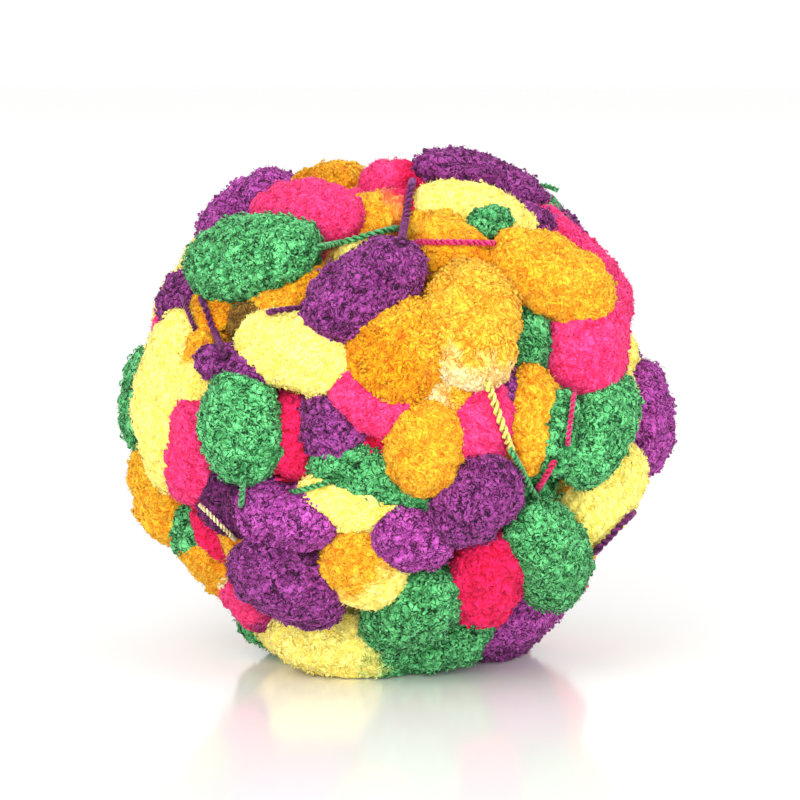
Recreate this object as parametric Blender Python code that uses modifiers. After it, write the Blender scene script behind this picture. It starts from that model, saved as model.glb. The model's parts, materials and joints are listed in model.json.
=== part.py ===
"""A ball of pompom yarn: fat fleecy pompoms along one thin twisted thread, wound up and at rest.

Metres, +Z up. The front of the ball faces -Y, and the origin is the middle of the small flat spot
that it rests on. The wound yarn is one soft body: every pompom is a stretched sphere laid along the
winding, they are pressed together into one closed skin, and the runs of bare thread that stand out
on the front are joined to it. The loose end of the yarn is a piece of its own.
"""

import math

import bmesh
import bpy
from mathutils import Vector, noise
from mathutils.bvhtree import BVHTree

MM = 0.001

# The winding is the egg-shaped surface that the middles of the pompoms lie on.
WINDING = Vector((80, 79, 74)) * MM
CENTRE = Vector((0, 0, 84)) * MM
# The packed yarn inside starts this far below the winding.
HEART_DEPTH = 4 * MM
HEART_AROUND = 48
HEART_ALONG = 32

# The front view looks down a little. Its up and its way back to the eye are these.
EYE_LEVEL = math.radians(6)
EYE_UP = Vector((0, math.sin(EYE_LEVEL), math.cos(EYE_LEVEL)))
EYE_BACK = Vector((0, -math.cos(EYE_LEVEL), math.sin(EYE_LEVEL)))
EYE_DISTANCE = 1.1
# Near the ball's outline a pompom leans no further into the depth than this share allows.
RIM_LEAN = 0.35

# A pompom is a little flatter than it is wide, its ends are blunt, and its pile is uneven.
PLUMPNESS = 0.88
BLUNTNESS = 2.6
UNEVEN = 1.3 * MM
UNEVEN_PITCH = 11 * MM
AROUND = 20
ALONG = 14

# Pompoms seen from the front. x and z are the place of the middle, right of the ball's middle and
# above the table. tilt turns the long side up from level, in degrees. lift is the height above the
# winding, back is how far it sits round behind, and bow is the sideways bend of the middle. All
# lengths are in millimetres. A place past the ball's outline is drawn in to it.
FRONT_COLUMNS = ("x", "z", "tilt", "long", "wide", "lift", "back", "bow")
FRONT_POMPOMS = (
    (-53, 154, 40, 42, 25, 5, 8, 0),
    (-26, 166, -6, 48, 26, -1, 12, 0),
    (-30, 149, -8, 46, 23, 4, 0, 0),
    (-48, 134, 5, 50, 28, 7, 0, 0),
    (2, 160, 0, 34, 30, -4, 6, 0),
    (33, 168, -16, 48, 20, 6, 0, 4),
    (26, 148, -12, 46, 24, 0, 0, 0),
    (17, 143, -3, 32, 16, -2, 0, 0),
    (32, 145, 10, 18, 12, 7, 0, 0),
    (49, 149, -15, 30, 18, -1, 0, 0),
    (69, 135, -55, 48, 18, -2, 0, 4),
    (53, 127, -25, 45, 27, 8, 0, 0),
    (63, 106, 80, 44, 31, 0, 0, 0),
    (43, 108, 88, 34, 22, -6, 0, 0),
    (25, 111, 85, 42, 31, 6, 0, 0),
    (20, 134, -50, 34, 24, 1, 0, 0),
    (2, 102, 40, 37, 34, 2, 0, 0),
    (-10, 123, 38, 42, 26, 9, 0, 0),
    (-34, 103, -15, 42, 24, 5, 0, 0),
    (-32, 119, 20, 42, 24, -4, 0, 0),
    (-57, 115, -60, 34, 24, -5, 0, 0),
    (-70, 121, -65, 36, 24, -2, 0, 0),
    (-75, 86, 86, 62, 25, 3, 0, 0),
    (-64, 97, 80, 32, 20, -1, 0, 0),
    (-91, 86, 88, 42, 26, 0, 8, 0),
    (-67, 70, 86, 40, 21, 1, 0, 0),
    (-50, 79, -82, 38, 26, 6, 0, 0),
    (-54, 99, -10, 32, 15, 2, 0, 0),
    (-34, 75, 80, 36, 20, -5, 0, 0),
    (-20, 80, 85, 30, 24, -4, 0, 0),
    (-6, 88, -20, 34, 22, 1, 0, 0),
    (-6, 73, -60, 28, 22, -8, 0, 0),
    (-10, 62, -25, 44, 24, -5, 0, 0),
    (10, 71, 85, 32, 23, 4, 0, 0),
    (15, 90, 20, 30, 20, -3, 0, 0),
    (27, 79, 82, 32, 24, -1, 0, 0),
    (45, 80, 85, 38, 18, 1, 0, 0),
    (54, 77, 85, 28, 15, 0, 0, 0),
    (68, 77, 60, 42, 23, 5, 0, 0),
    (69, 56, 55, 42, 27, 0, 0, 0),
    (90, 80, 86, 42, 26, 1, 6, 0),
    (53, 34, -66, 48, 26, 6, 0, 0),
    (26, 54, 48, 35, 24, 7, 0, 0),
    (9, 43, -12, 30, 19, 3, 0, 0),
    (31, 28, 75, 40, 25, 4, 0, 0),
    (45, 10, 12, 46, 26, 2, 0, 0),
    (6, 18, 45, 42, 27, 4, 0, 0),
    (-30, 9, -12, 46, 25, 3, 0, 0),
    (-35, 27, -25, 42, 30, 8, 0, 0),
    (-36, 48, -10, 36, 22, 3, 0, 0),
    (-16, 52, -12, 36, 18, 0, 0, 0),
    (-10, 32, -50, 32, 26, 3, 0, 0),
    (-52, 55, 20, 36, 26, -5, 0, 0),
    (-82, 53, -70, 38, 26, 2, 4, 0),
    (-69, 38, -60, 34, 22, -2, 0, 0),
    (-65, 26, -50, 36, 24, -1, 2, 0),
    (-54, 22, -40, 30, 18, 0, 0, 0),
    (-49, 8, -35, 38, 24, 1, 0, 0),
    (8, 54, 0, 34, 20, -5, 0, 0),
    (84, 108, 80, 40, 24, -7, 4, 0),
    (60, 153, -40, 40, 24, 0, 8, 0),
    (-49, 113, 20, 20, 14, 0, 0, 0),
    (-2, 146, 10, 36, 24, -5, 0, 0),
    (66, 62, 40, 28, 20, -4, 0, 0),
    (-69, 140, -60, 34, 22, 0, 8, 0),
    (-79, 117, 60, 32, 22, -4, 6, 0),
)

# The rest of the ball is wound by rule. Of many seats spread evenly round it, each one golden angle
# on from the last, the one with the most room gets the next pompom, turned to lie freely.
WOUND_SEATS = 700
GOLDEN_ANGLE = math.radians(137.508)
WOUND_TURNS = 6
WOUND_LONG = (44, 50, 40, 47, 53, 42, 49)
WOUND_WIDE = (27, 25, 29, 26, 30)
WOUND_LIFT = (0, 4, -2, 2, 6, -1, 3)
# A seat has room when it lies this far past the sides of the pompoms that are laid already.
WOUND_ROOM = 1 * MM
# Between the pompoms of the front only small ones fit, and they lie deeper.
FILL_LONG = 34
FILL_WIDE = 22
FILL_SINK = 7 * MM
# The underside below this share of the winding's half height is wound like the back, and its
# pompoms sag on the table: they are pressed into it by this much, but sag no further than this.
UNDER = -0.8
SAG_PRESS = 1.5 * MM
SAG_MOST = 8 * MM
# Behind the outline the pompoms rise from that depth to their own height over this distance.
RISE = 45 * MM
# Places along a pompom that its room is measured from, in shares of its length.
SPINE_SHARES = (-0.3, -0.15, 0, 0.15, 0.3)

# One broad pompom lies right under the middle, where the ball rests: long, wide and lift.
REST_POMPOM = (48, 34, 1)

# Runs of the bare twisted thread that stand out on the front, from end to end as the eye sees them.
THREAD_COLUMNS = ("x1", "z1", "x2", "z2", "thick")
FRONT_THREADS = (
    (7.5, 158, 2.5, 139, 3.2),
    (-32, 140.5, 1, 146.5, 2.6),
    (7, 142.5, 33, 141.5, 2.4),
    (31, 93, 39.5, 69, 2.8),
    (39.5, 69, 47, 55, 2.4),
    (-62.5, 120.5, -56, 105, 2.4),
)
THREAD_STEP = 3 * MM
THREAD_SMOOTHING = 2
# The ends of a run turn down between the pompoms by this many of its thicknesses.
THREAD_DIVE = 1.5
# The height above the winding that the ends of a run are sighted at.
THREAD_LIFT = 10 * MM
# This share of its thickness shows above the pompoms that it presses into.
THREAD_PROUD = 0.75
# No pompom rises higher than this above the winding.
SKIN_ABOVE = 40 * MM

# The loose end of the yarn climbs out from behind the top pompom and stands out past it. These are
# the places it passes, in millimetres, from the ball to its cut tip.
LOOSE_END_COLUMNS = ("x", "y", "z")
LOOSE_END_STOPS = (
    (38.6, 27.4, 141.6),
    (39.0, 23.8, 144),
    (40.5, 20.2, 149),
    (43.2, 17.6, 153.9),
    (46.6, 15, 157),
    (50.5, 11.5, 158),
    (54.5, 8, 156.6),
)
LOOSE_END_THICK = 2 * MM
# Its curve is worked out in this many steps between two places, and then told off in even steps.
CURVE_STEPS = 24
LOOSE_END_STEP = 4 * MM

# The skin is first gathered from all the pompoms on a fine grid, then thinned to this many faces.
SKIN_GRID = 1.2 * MM
SKIN_FACES = 10500
# Corners nearer together than this are one corner.
WELD = 0.001 * MM

# Plain colours of the fleece and of the thread, as shares of red, green and blue.
FLEECE_COLOUR = (0.85, 0.15, 0.25, 1)
THREAD_COLOUR = (0.1, 0.4, 0.15, 1)
FLEECE_ROUGHNESS = 0.95


def clear_scene():
    """Remove whatever the file opened with."""
    for thing in list(bpy.data.objects):
        bpy.data.objects.remove(thing)


def in_shares(place, half_sizes=WINDING):
    """A place from the ball's centre, in shares of an egg's half sizes."""
    return Vector((place.x / half_sizes.x, place.y / half_sizes.y, place.z / half_sizes.z))


def seat_from_front(x, z, lift, back):
    """The seat of a pompom whose lifted middle the front view shows at x and z."""
    lifted = WINDING + Vector((lift, lift, lift))
    shown = Vector((x, 0, 0)) + EYE_UP * (z - CENTRE.z)
    # In shares of its half sizes the lifted winding is a plain ball of radius one.
    eye = in_shares(EYE_BACK * EYE_DISTANCE, lifted)
    sight = (eye - in_shares(shown, lifted)).normalized()
    nearest = eye - sight * eye.dot(sight)
    reach = nearest.length
    if reach < 1:
        nearest += sight * math.sqrt(1 - reach * reach)
    place = Vector((nearest.x * lifted.x, nearest.y * lifted.y, nearest.z * lifted.z))
    return on_winding(place - EYE_BACK * back)


def on_winding(place):
    """Push a place straight out from, or in towards, the ball's centre onto the winding."""
    return place / in_shares(place).length


def outward(seat):
    """The direction that stands square on the winding at a seat."""
    return Vector((seat.x / WINDING.x ** 2, seat.y / WINDING.y ** 2, seat.z / WINDING.z ** 2)).normalized()


def heading_from_front(seat, tilt):
    """The direction along the winding that the front shows at this tilt."""
    shown = Vector((math.cos(tilt), 0, 0)) + EYE_UP * math.sin(tilt)
    out = outward(seat)
    facing = out.dot(EYE_BACK)
    lean = math.copysign(max(abs(facing), RIM_LEAN), facing)
    heading = shown - EYE_BACK * shown.dot(out) / lean
    return (heading - out * heading.dot(out)).normalized()


def blunt(along):
    """How wide a pompom is at a place along it, from -1 to 1, against a plain ball."""
    plain = math.sqrt(max(1 - along * along, 1e-6))
    return math.sqrt(max(1 - abs(along) ** BLUNTNESS, 1e-6)) / plain


def pompom_mesh(seat, heading, long, wide, lift, bow=0.0):
    """One stretched sphere laid along the winding, with its middle at the seat."""
    shape = bmesh.new()
    bmesh.ops.create_uvsphere(shape, u_segments=AROUND, v_segments=ALONG, radius=1)
    side = outward(seat).cross(heading)
    for vert in shape.verts:
        along = max(-1.0, min(1.0, vert.co.z))
        fullness = blunt(along)
        bend = side * bow * (1 - along * along)
        spine = on_winding(seat + heading * along * long / 2 + bend)
        out = outward(spine)
        spot = spine + out * (lift + vert.co.x * fullness * wide / 2 * PLUMPNESS)
        spot += side * vert.co.y * fullness * wide / 2
        swell = noise.noise(spot / UNEVEN_PITCH) * UNEVEN
        vert.co = CENTRE + spot + (spot - spine).normalized() * swell
    mesh = bpy.data.meshes.new("pompom")
    shape.to_mesh(mesh)
    shape.free()
    return mesh


def heart_mesh():
    """The packed yarn inside, which closes the gaps between the pompoms."""
    heart = bmesh.new()
    bmesh.ops.create_uvsphere(heart, u_segments=HEART_AROUND, v_segments=HEART_ALONG, radius=1)
    share = WINDING - Vector((HEART_DEPTH, HEART_DEPTH, HEART_DEPTH))
    for vert in heart.verts:
        vert.co = CENTRE + vert.co * share
    mesh = bpy.data.meshes.new("heart")
    heart.to_mesh(mesh)
    heart.free()
    return mesh


def front_rows():
    """The pompoms of the front table, as seat, heading and sizes in metres."""
    rows = []
    for numbers in FRONT_POMPOMS:
        row = dict(zip(FRONT_COLUMNS, numbers))
        seat = seat_from_front(row["x"] * MM, row["z"] * MM, row["lift"] * MM, row["back"] * MM)
        heading = heading_from_front(seat, math.radians(row["tilt"]))
        rows.append((seat, heading, row["long"] * MM, row["wide"] * MM, row["lift"] * MM, row["bow"] * MM))
    return rows


def rest_row():
    """The pompom that the middle of the ball rests on."""
    long, wide, lift = (size * MM for size in REST_POMPOM)
    return (Vector((0, 0, -WINDING.z)), Vector((1, 0, 0)), long, wide, lift, 0.0)


def room_beside(spot, row):
    """How far a spot of the winding lies past the side of a pompom that is laid already."""
    middle, heading, long, wide = row[:4]
    spine = [on_winding(middle + heading * share * long) for share in SPINE_SHARES]
    return min((spot - place).length for place in spine) - wide / 2


def free_heading(seat, long, placed):
    """The heading along the winding that leaves the most room at both ends."""
    out = outward(seat)
    east = Vector((0, 0, 1)).cross(out).normalized()
    north = out.cross(east)
    best = (-1.0, east)
    for turn in range(WOUND_TURNS):
        angle = math.pi * turn / WOUND_TURNS
        heading = east * math.cos(angle) + north * math.sin(angle)
        ends = [on_winding(seat + heading * side * long * SPINE_SHARES[-1]) for side in (-1, 1)]
        room = min(room_beside(end, row) for end in ends for row in placed)
        best = max(best, (room, heading), key=lambda choice: choice[0])
    return best[1]


def wound_row(seat, count, placed):
    """One pompom of the winding rule, smaller and deeper where it fills in the front."""
    filling = seat.y < 0 and seat.z > UNDER * WINDING.z
    long = (FILL_LONG if filling else WOUND_LONG[count % len(WOUND_LONG)]) * MM
    wide = (FILL_WIDE if filling else WOUND_WIDE[count % len(WOUND_WIDE)]) * MM
    lift = WOUND_LIFT[count % len(WOUND_LIFT)] * MM
    behind = min(max(seat.y / RISE, 0), 1)
    lift = (lift + FILL_SINK) * behind - FILL_SINK
    if seat.z < UNDER * WINDING.z:
        sag = CENTRE.z + seat.z - wide / 2 * PLUMPNESS + SAG_PRESS
        lift = max(lift, min(sag, SAG_MOST))
    return (seat, free_heading(seat, long, placed), long, wide, lift, 0.0)


def wound_rows(placed):
    """The pompoms wound by rule over the back, the sides and the underside."""
    seats = []
    for turn in range(WOUND_SEATS):
        height = 1 - (2 * turn + 1) / WOUND_SEATS
        level = math.sqrt(1 - height * height)
        bearing = turn * GOLDEN_ANGLE
        seats.append(on_winding(Vector((level * math.sin(bearing), level * math.cos(bearing), height))))
    rooms = [min(room_beside(seat, row) for row in placed) for seat in seats]
    rows = []
    while max(rooms) > WOUND_ROOM:
        seat = seats[rooms.index(max(rooms))]
        row = wound_row(seat, len(rows), placed + rows)
        rows.append(row)
        rooms = [min(room, room_beside(seat, row)) for room, seat in zip(rooms, seats)]
    return rows


def sighted_route(skin_tree, row):
    """The route of a thread over the pompoms, as points from its one end to the other."""
    first = seat_from_front(row["x1"] * MM, row["z1"] * MM, THREAD_LIFT, 0)
    last = seat_from_front(row["x2"] * MM, row["z2"] * MM, THREAD_LIFT, 0)
    steps = round((last - first).length / THREAD_STEP)
    seats = [on_winding(first.lerp(last, step / steps)) for step in range(steps + 1)]
    outs = [outward(seat) for seat in seats]
    heights = [skin_height(skin_tree, seat, out) for seat, out in zip(seats, outs)]
    # The thread is drawn tight, so it bridges the clefts between pompoms.
    for _ in range(THREAD_SMOOTHING):
        before = heights[:1] + heights[:-1]
        after = heights[1:] + heights[-1:]
        heights = [max(height, (low + high) / 2) for height, low, high in zip(heights, before, after)]
    heights = [height + row["thick"] * MM * (THREAD_PROUD - 0.5) for height in heights]
    for end in (0, -1):
        heights[end] -= row["thick"] * MM * THREAD_DIVE
    return [CENTRE + seat + out * height for seat, out, height in zip(seats, outs, heights)]


def skin_height(skin_tree, seat, out):
    """How high the skin lies above a seat of the winding."""
    start = CENTRE + seat + out * SKIN_ABOVE
    return SKIN_ABOVE - skin_tree.ray_cast(start, -out)[3]


def thread_tube(name, route, thick):
    """One run of thread as a closed tube."""
    curve = bpy.data.curves.new(name, "CURVE")
    curve.dimensions = "3D"
    curve.bevel_depth = thick / 2
    curve.bevel_resolution = 2
    curve.use_fill_caps = True
    line = curve.splines.new("POLY")
    line.points.add(len(route) - 1)
    for point, place in zip(line.points, route):
        point.co = (*place, 1)
    thing = bpy.data.objects.new(name, curve)
    bpy.context.scene.collection.objects.link(thing)
    mesh = finished_mesh(thing)
    bpy.data.objects.remove(thing)
    # The caps of the tube are loose, and are joined to it here.
    tube = bmesh.new()
    tube.from_mesh(mesh)
    bmesh.ops.remove_doubles(tube, verts=tube.verts, dist=WELD)
    bmesh.ops.recalc_face_normals(tube, faces=tube.faces)
    tube.to_mesh(mesh)
    tube.free()
    return bpy.data.objects.new(name, mesh)


def curve_through(stops):
    """A smooth curve through the stops, as many short steps."""
    ends = [2 * stops[0] - stops[1]] + stops + [2 * stops[-1] - stops[-2]]
    places = []
    for before, start, end, after in zip(ends, ends[1:], ends[2:], ends[3:]):
        for step in range(CURVE_STEPS):
            share = step / CURVE_STEPS
            lean_out = (end - before) * share
            lean_on = (2 * before - 5 * start + 4 * end - after) * share ** 2
            lean_in = (3 * start - before - 3 * end + after) * share ** 3
            places.append(start + (lean_out + lean_on + lean_in) / 2)
    return places + [stops[-1]]


def even_steps(places, step):
    """Places told off along a route, as near a step apart as fills it evenly."""
    runs = [0.0]
    for start, end in zip(places, places[1:]):
        runs.append(runs[-1] + (end - start).length)
    count = round(runs[-1] / step)
    even = []
    for number in range(count + 1):
        run = runs[-1] * number / count
        here = min(sum(1 for reached in runs[1:] if reached < run), len(places) - 2)
        share = (run - runs[here]) / (runs[here + 1] - runs[here])
        even.append(places[here].lerp(places[here + 1], share))
    return even


def loose_end(collection):
    """The loose end of the yarn, one round cord."""
    stops = []
    for numbers in LOOSE_END_STOPS:
        row = dict(zip(LOOSE_END_COLUMNS, numbers))
        stops.append(Vector((row["x"], row["y"], row["z"])) * MM)
    route = even_steps(curve_through(stops), LOOSE_END_STEP)
    end = thread_tube("loose_end", route, LOOSE_END_THICK)
    collection.objects.link(end)
    end.data.shade_smooth()
    end.data.materials.append(yarn_finish("twisted_thread", THREAD_COLOUR))
    return end


def press_in_threads(ball):
    """Join the runs of bare thread to the pompoms that they lie on."""
    skin = bmesh.new()
    skin.from_mesh(ball.data)
    skin_tree = BVHTree.FromBMesh(skin)
    skin.free()
    for numbers in FRONT_THREADS:
        row = dict(zip(THREAD_COLUMNS, numbers))
        tube = thread_tube("thread", sighted_route(skin_tree, row), row["thick"] * MM)
        bpy.context.scene.collection.objects.link(tube)
        press = ball.modifiers.new("press in", "BOOLEAN")
        press.operation = "UNION"
        press.solver = "EXACT"
        press.object = tube
        ball.data = finished_mesh(ball)
        ball.modifiers.clear()
        bpy.data.objects.remove(tube)


def finished_mesh(thing):
    """The mesh of an object with its modifiers worked in."""
    graph = bpy.context.evaluated_depsgraph_get()
    return bpy.data.meshes.new_from_object(thing.evaluated_get(graph))


def gathered(thing):
    """Gather the overlapping pompoms into one skin and thin its faces."""
    grid = thing.modifiers.new("gather", "REMESH")
    grid.mode = "VOXEL"
    grid.voxel_size = SKIN_GRID
    thing.data = finished_mesh(thing)
    thing.modifiers.clear()
    # Each square of the grid is two triangles.
    triangles = 2 * len(thing.data.polygons)
    thin = thing.modifiers.new("thin", "DECIMATE")
    thin.ratio = SKIN_FACES / triangles
    thin.use_collapse_triangulate = True
    thing.data = finished_mesh(thing)
    thing.modifiers.clear()


def keep_outer_skin(skin):
    """Drop the closed pockets that the pompoms leave between them."""
    left = set(skin.verts)
    islands = []
    while left:
        island = {left.pop()}
        edge_of_it = list(island)
        while edge_of_it:
            vert = edge_of_it.pop()
            for edge in vert.link_edges:
                other = edge.other_vert(vert)
                if other in left:
                    left.remove(other)
                    island.add(other)
                    edge_of_it.append(other)
        islands.append(island)
    outer = max(islands, key=len)
    inner = [vert for vert in skin.verts if vert not in outer]
    bmesh.ops.delete(skin, geom=inner, context="VERTS")


def press_on_table(skin):
    """Flatten the ball where it rests, at height zero."""
    everything = skin.verts[:] + skin.edges[:] + skin.faces[:]
    bmesh.ops.bisect_plane(skin, geom=everything, plane_no=(0, 0, 1), clear_inner=True, dist=WELD)
    rim = [edge for edge in skin.edges if edge.is_boundary]
    bmesh.ops.holes_fill(skin, edges=rim, sides=0)
    bmesh.ops.triangulate(skin, faces=[face for face in skin.faces if len(face.verts) > 3])
    bmesh.ops.recalc_face_normals(skin, faces=skin.faces)


def yarn_finish(name, colour):
    """A matt finish of one colour."""
    finish = bpy.data.materials.new(name)
    finish.use_nodes = True
    shader = finish.node_tree.nodes["Principled BSDF"]
    shader.inputs["Base Color"].default_value = colour
    shader.inputs["Roughness"].default_value = FLEECE_ROUGHNESS
    shader.inputs["Metallic"].default_value = 0.0
    return finish


def wound_yarn(collection):
    """The wound ball, one closed body of all its pompoms."""
    skin = bmesh.new()
    skin.from_mesh(heart_mesh())
    placed = front_rows() + [rest_row()]
    for row in placed + wound_rows(placed):
        skin.from_mesh(pompom_mesh(*row))
    mesh = bpy.data.meshes.new("wound_yarn")
    skin.to_mesh(mesh)
    skin.free()
    ball = bpy.data.objects.new("wound_yarn", mesh)
    collection.objects.link(ball)
    gathered(ball)
    skin = bmesh.new()
    skin.from_mesh(ball.data)
    keep_outer_skin(skin)
    press_on_table(skin)
    skin.to_mesh(ball.data)
    skin.free()
    press_in_threads(ball)
    ball.data.shade_smooth()
    ball.data.materials.append(yarn_finish("fleece", FLEECE_COLOUR))
    return ball


clear_scene()
parts = bpy.data.collections.new("pompom_yarn_ball")
bpy.context.scene.collection.children.link(parts)
wound_yarn(parts)
loose_end(parts)
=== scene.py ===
# %% [markdown]
# # A ball of pompom yarn
# This yarn is one thin twisted thread with a fat fleecy pompom every few centimetres, dyed in
# lengths of pink, purple, green, orange and yellow, and wound up into a ball. The solid model holds
# the lumps of the ball. Here each pompom becomes a piece of its own, dressed in tufts, curls and
# fibres, because a smooth lump would look like clay. Everything is in metres, +Z up, and the front
# of the ball faces -Y.

# %% Load the solid ball
import json
import math

import bpy
import numpy as np
from mathutils import Matrix, Vector, noise
from mathutils.bvhtree import BVHTree
from mathutils.kdtree import KDTree

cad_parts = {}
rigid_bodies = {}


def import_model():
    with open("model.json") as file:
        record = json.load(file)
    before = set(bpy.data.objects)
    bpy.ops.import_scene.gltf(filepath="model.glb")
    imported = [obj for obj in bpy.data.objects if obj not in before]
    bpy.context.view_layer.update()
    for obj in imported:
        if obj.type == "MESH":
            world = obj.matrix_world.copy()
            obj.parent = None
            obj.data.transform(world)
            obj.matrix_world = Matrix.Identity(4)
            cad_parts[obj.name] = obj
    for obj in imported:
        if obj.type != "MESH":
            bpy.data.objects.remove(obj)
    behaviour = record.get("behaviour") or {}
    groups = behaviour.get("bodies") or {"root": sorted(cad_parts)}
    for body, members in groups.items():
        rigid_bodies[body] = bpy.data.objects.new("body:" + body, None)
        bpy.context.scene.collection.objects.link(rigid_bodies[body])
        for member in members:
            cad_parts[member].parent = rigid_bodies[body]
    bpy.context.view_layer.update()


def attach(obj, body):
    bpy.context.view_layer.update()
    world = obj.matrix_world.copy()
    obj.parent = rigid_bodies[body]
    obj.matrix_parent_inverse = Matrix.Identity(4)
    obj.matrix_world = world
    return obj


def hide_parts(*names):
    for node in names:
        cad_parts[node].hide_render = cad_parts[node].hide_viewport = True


MM = 0.001
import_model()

# %% [markdown]
# ## The winding
# The middles of all the pompoms lie on one egg-shaped surface, the winding. A place on it is found by
# pushing any point straight out from the ball's middle, or in towards it. With the points in the rows
# of an array, one line of arithmetic does this for thousands of them at once.

# %% Measure the winding
WINDING = np.array((80, 79, 74)) * MM
CENTRE = np.array((0, 0, 84)) * MM
NO_LENGTH = 1e-9


def unit(rows):
    """Directions of length one, or none where there is no length."""
    return rows / np.maximum(np.linalg.norm(rows, axis=-1, keepdims=True), NO_LENGTH)


def on_winding(places):
    """Push places, counted from the ball's middle, onto the winding."""
    return places / np.linalg.norm(places / WINDING, axis=-1, keepdims=True)


def outward(seats):
    """The directions that stand square on the winding."""
    return unit(seats / WINDING ** 2)


print("the winding is", np.round(2 * WINDING / MM), "mm through")

# %% [markdown]
# ## The camera
# The photo looks down on the ball a little, from about a metre away. What fixes the camera is how
# many millimetres one pixel of the photo covers at the ball, and where the ball's middle is in it.

# %% Set the camera
PHOTO_WIDTH = 800
PIXEL = 0.335 * MM
MIDDLE_X, MIDDLE_Y = 395, 408
EYE_LEVEL = math.radians(6)
EYE_DISTANCE = 1.1
SENSOR = 36
EYE_RIGHT = np.array((1, 0, 0))
EYE_UP = np.array((0, math.sin(EYE_LEVEL), math.cos(EYE_LEVEL)))
EYE_BACK = np.array((0, -math.cos(EYE_LEVEL), math.sin(EYE_LEVEL)))

aim = CENTRE + EYE_RIGHT * (PHOTO_WIDTH / 2 - MIDDLE_X) * PIXEL
aim = aim + EYE_UP * (MIDDLE_Y - PHOTO_WIDTH / 2) * PIXEL
turn = Matrix((EYE_RIGHT, EYE_UP, EYE_BACK)).transposed()
bpy.ops.object.camera_add(location=aim + EYE_BACK * EYE_DISTANCE, rotation=turn.to_euler())
camera = bpy.context.object
camera.data.sensor_width = SENSOR
camera.data.lens = SENSOR * EYE_DISTANCE / (PHOTO_WIDTH * PIXEL)
bpy.context.scene.camera = camera
print("lens:", round(camera.data.lens, 1), "mm")

# %% [markdown]
# ## The dyes, lit and shaded
# The dyer paints the yarn in lengths, so a pompom is one colour, or changes from one to the next
# along its length. Each dye is written as two colours, a lit and a shaded copy of it: the painted
# shade down between the fibres and the lit colour at their tips. They are written as a screen shows
# them, and light needs them as plain shares, so each is put through the screen's own curve first.
# The last number of a dye is how dark the painted shade in its creases is: the green and purple
# fleece gets painted shade in cracks all over, the yellow one hardly at all.

# %% Mix the dyes
# Each dye: its colour in painted shade, its lit colour, and how dark the painted shade in its creases
# is.
SCREEN_DYES_LIT_AND_SHADED = {
    "purple": ((0.36, 0.05, 0.32), (0.63, 0.28, 0.59), 0.88),
    "plum": ((0.28, 0.04, 0.26), (0.50, 0.19, 0.45), 0.88),
    # Lilac is also given to some purple pompoms as painted light, to make them look more brightly lit.
    "lilac": ((0.49, 0.13, 0.45), (0.75, 0.34, 0.70), 0.84),
    "green": ((0.11, 0.43, 0.19), (0.43, 0.81, 0.52), 0.9),
    "pink": ((0.89, 0.13, 0.40), (0.96, 0.28, 0.54), 0.2),
    "red": ((0.82, 0.03, 0.23), (0.97, 0.14, 0.43), 0.22),
    "orange": ((0.91, 0.57, 0.05), (0.91, 0.72, 0.18), 0.16),
    "gold": ((0.91, 0.58, 0.05), (0.95, 0.77, 0.25), 0.2),
    "amber": ((0.85, 0.48, 0.02), (0.89, 0.65, 0.06), 0.2),
    "yellow": ((0.98, 0.89, 0.40), (0.99, 0.93, 0.55), 0.06),
    # Painted shade: a darker copy of cream, for a cream pompom that lies in shade.
    "straw": ((0.33, 0.22, 0.04), (0.55, 0.40, 0.14), 0.2),
    "cream": ((0.93, 0.82, 0.54), (0.99, 0.94, 0.76), 0.15),
}
SCREEN_FOOT = 0.055
SCREEN_CURVE = 2.4
# Which of a dye's two colours is the painted shade and which is the lit colour.
IN_SHADE, IN_LIGHT = 0, 1


def dye_for_light(shaded, lit, crease):
    """The shaded and lit colours of a dye as light needs them, each with how dark its painted crease
    shade is last.
    """
    shares = ((np.array((shaded, lit)) + SCREEN_FOOT) / (1 + SCREEN_FOOT)) ** SCREEN_CURVE
    return np.column_stack((shares, np.full(2, crease)))


DYES_LIT_AND_SHADED = {name: dye_for_light(*dye) for name, dye in SCREEN_DYES_LIT_AND_SHADED.items()}
print(len(DYES_LIT_AND_SHADED), "dyes")

# %% [markdown]
# ## Where the front pompoms lie
# The front follows the photo, a row for each pompom: the place of its middle as the camera sees it in
# millimetres, its tilt, length and width, how far it stands out, and its dye. The last three columns
# are left off where they aren't needed: the dye it changes to along its length, how far it moves back
# from the camera, and how far its middle bows aside.

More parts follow.
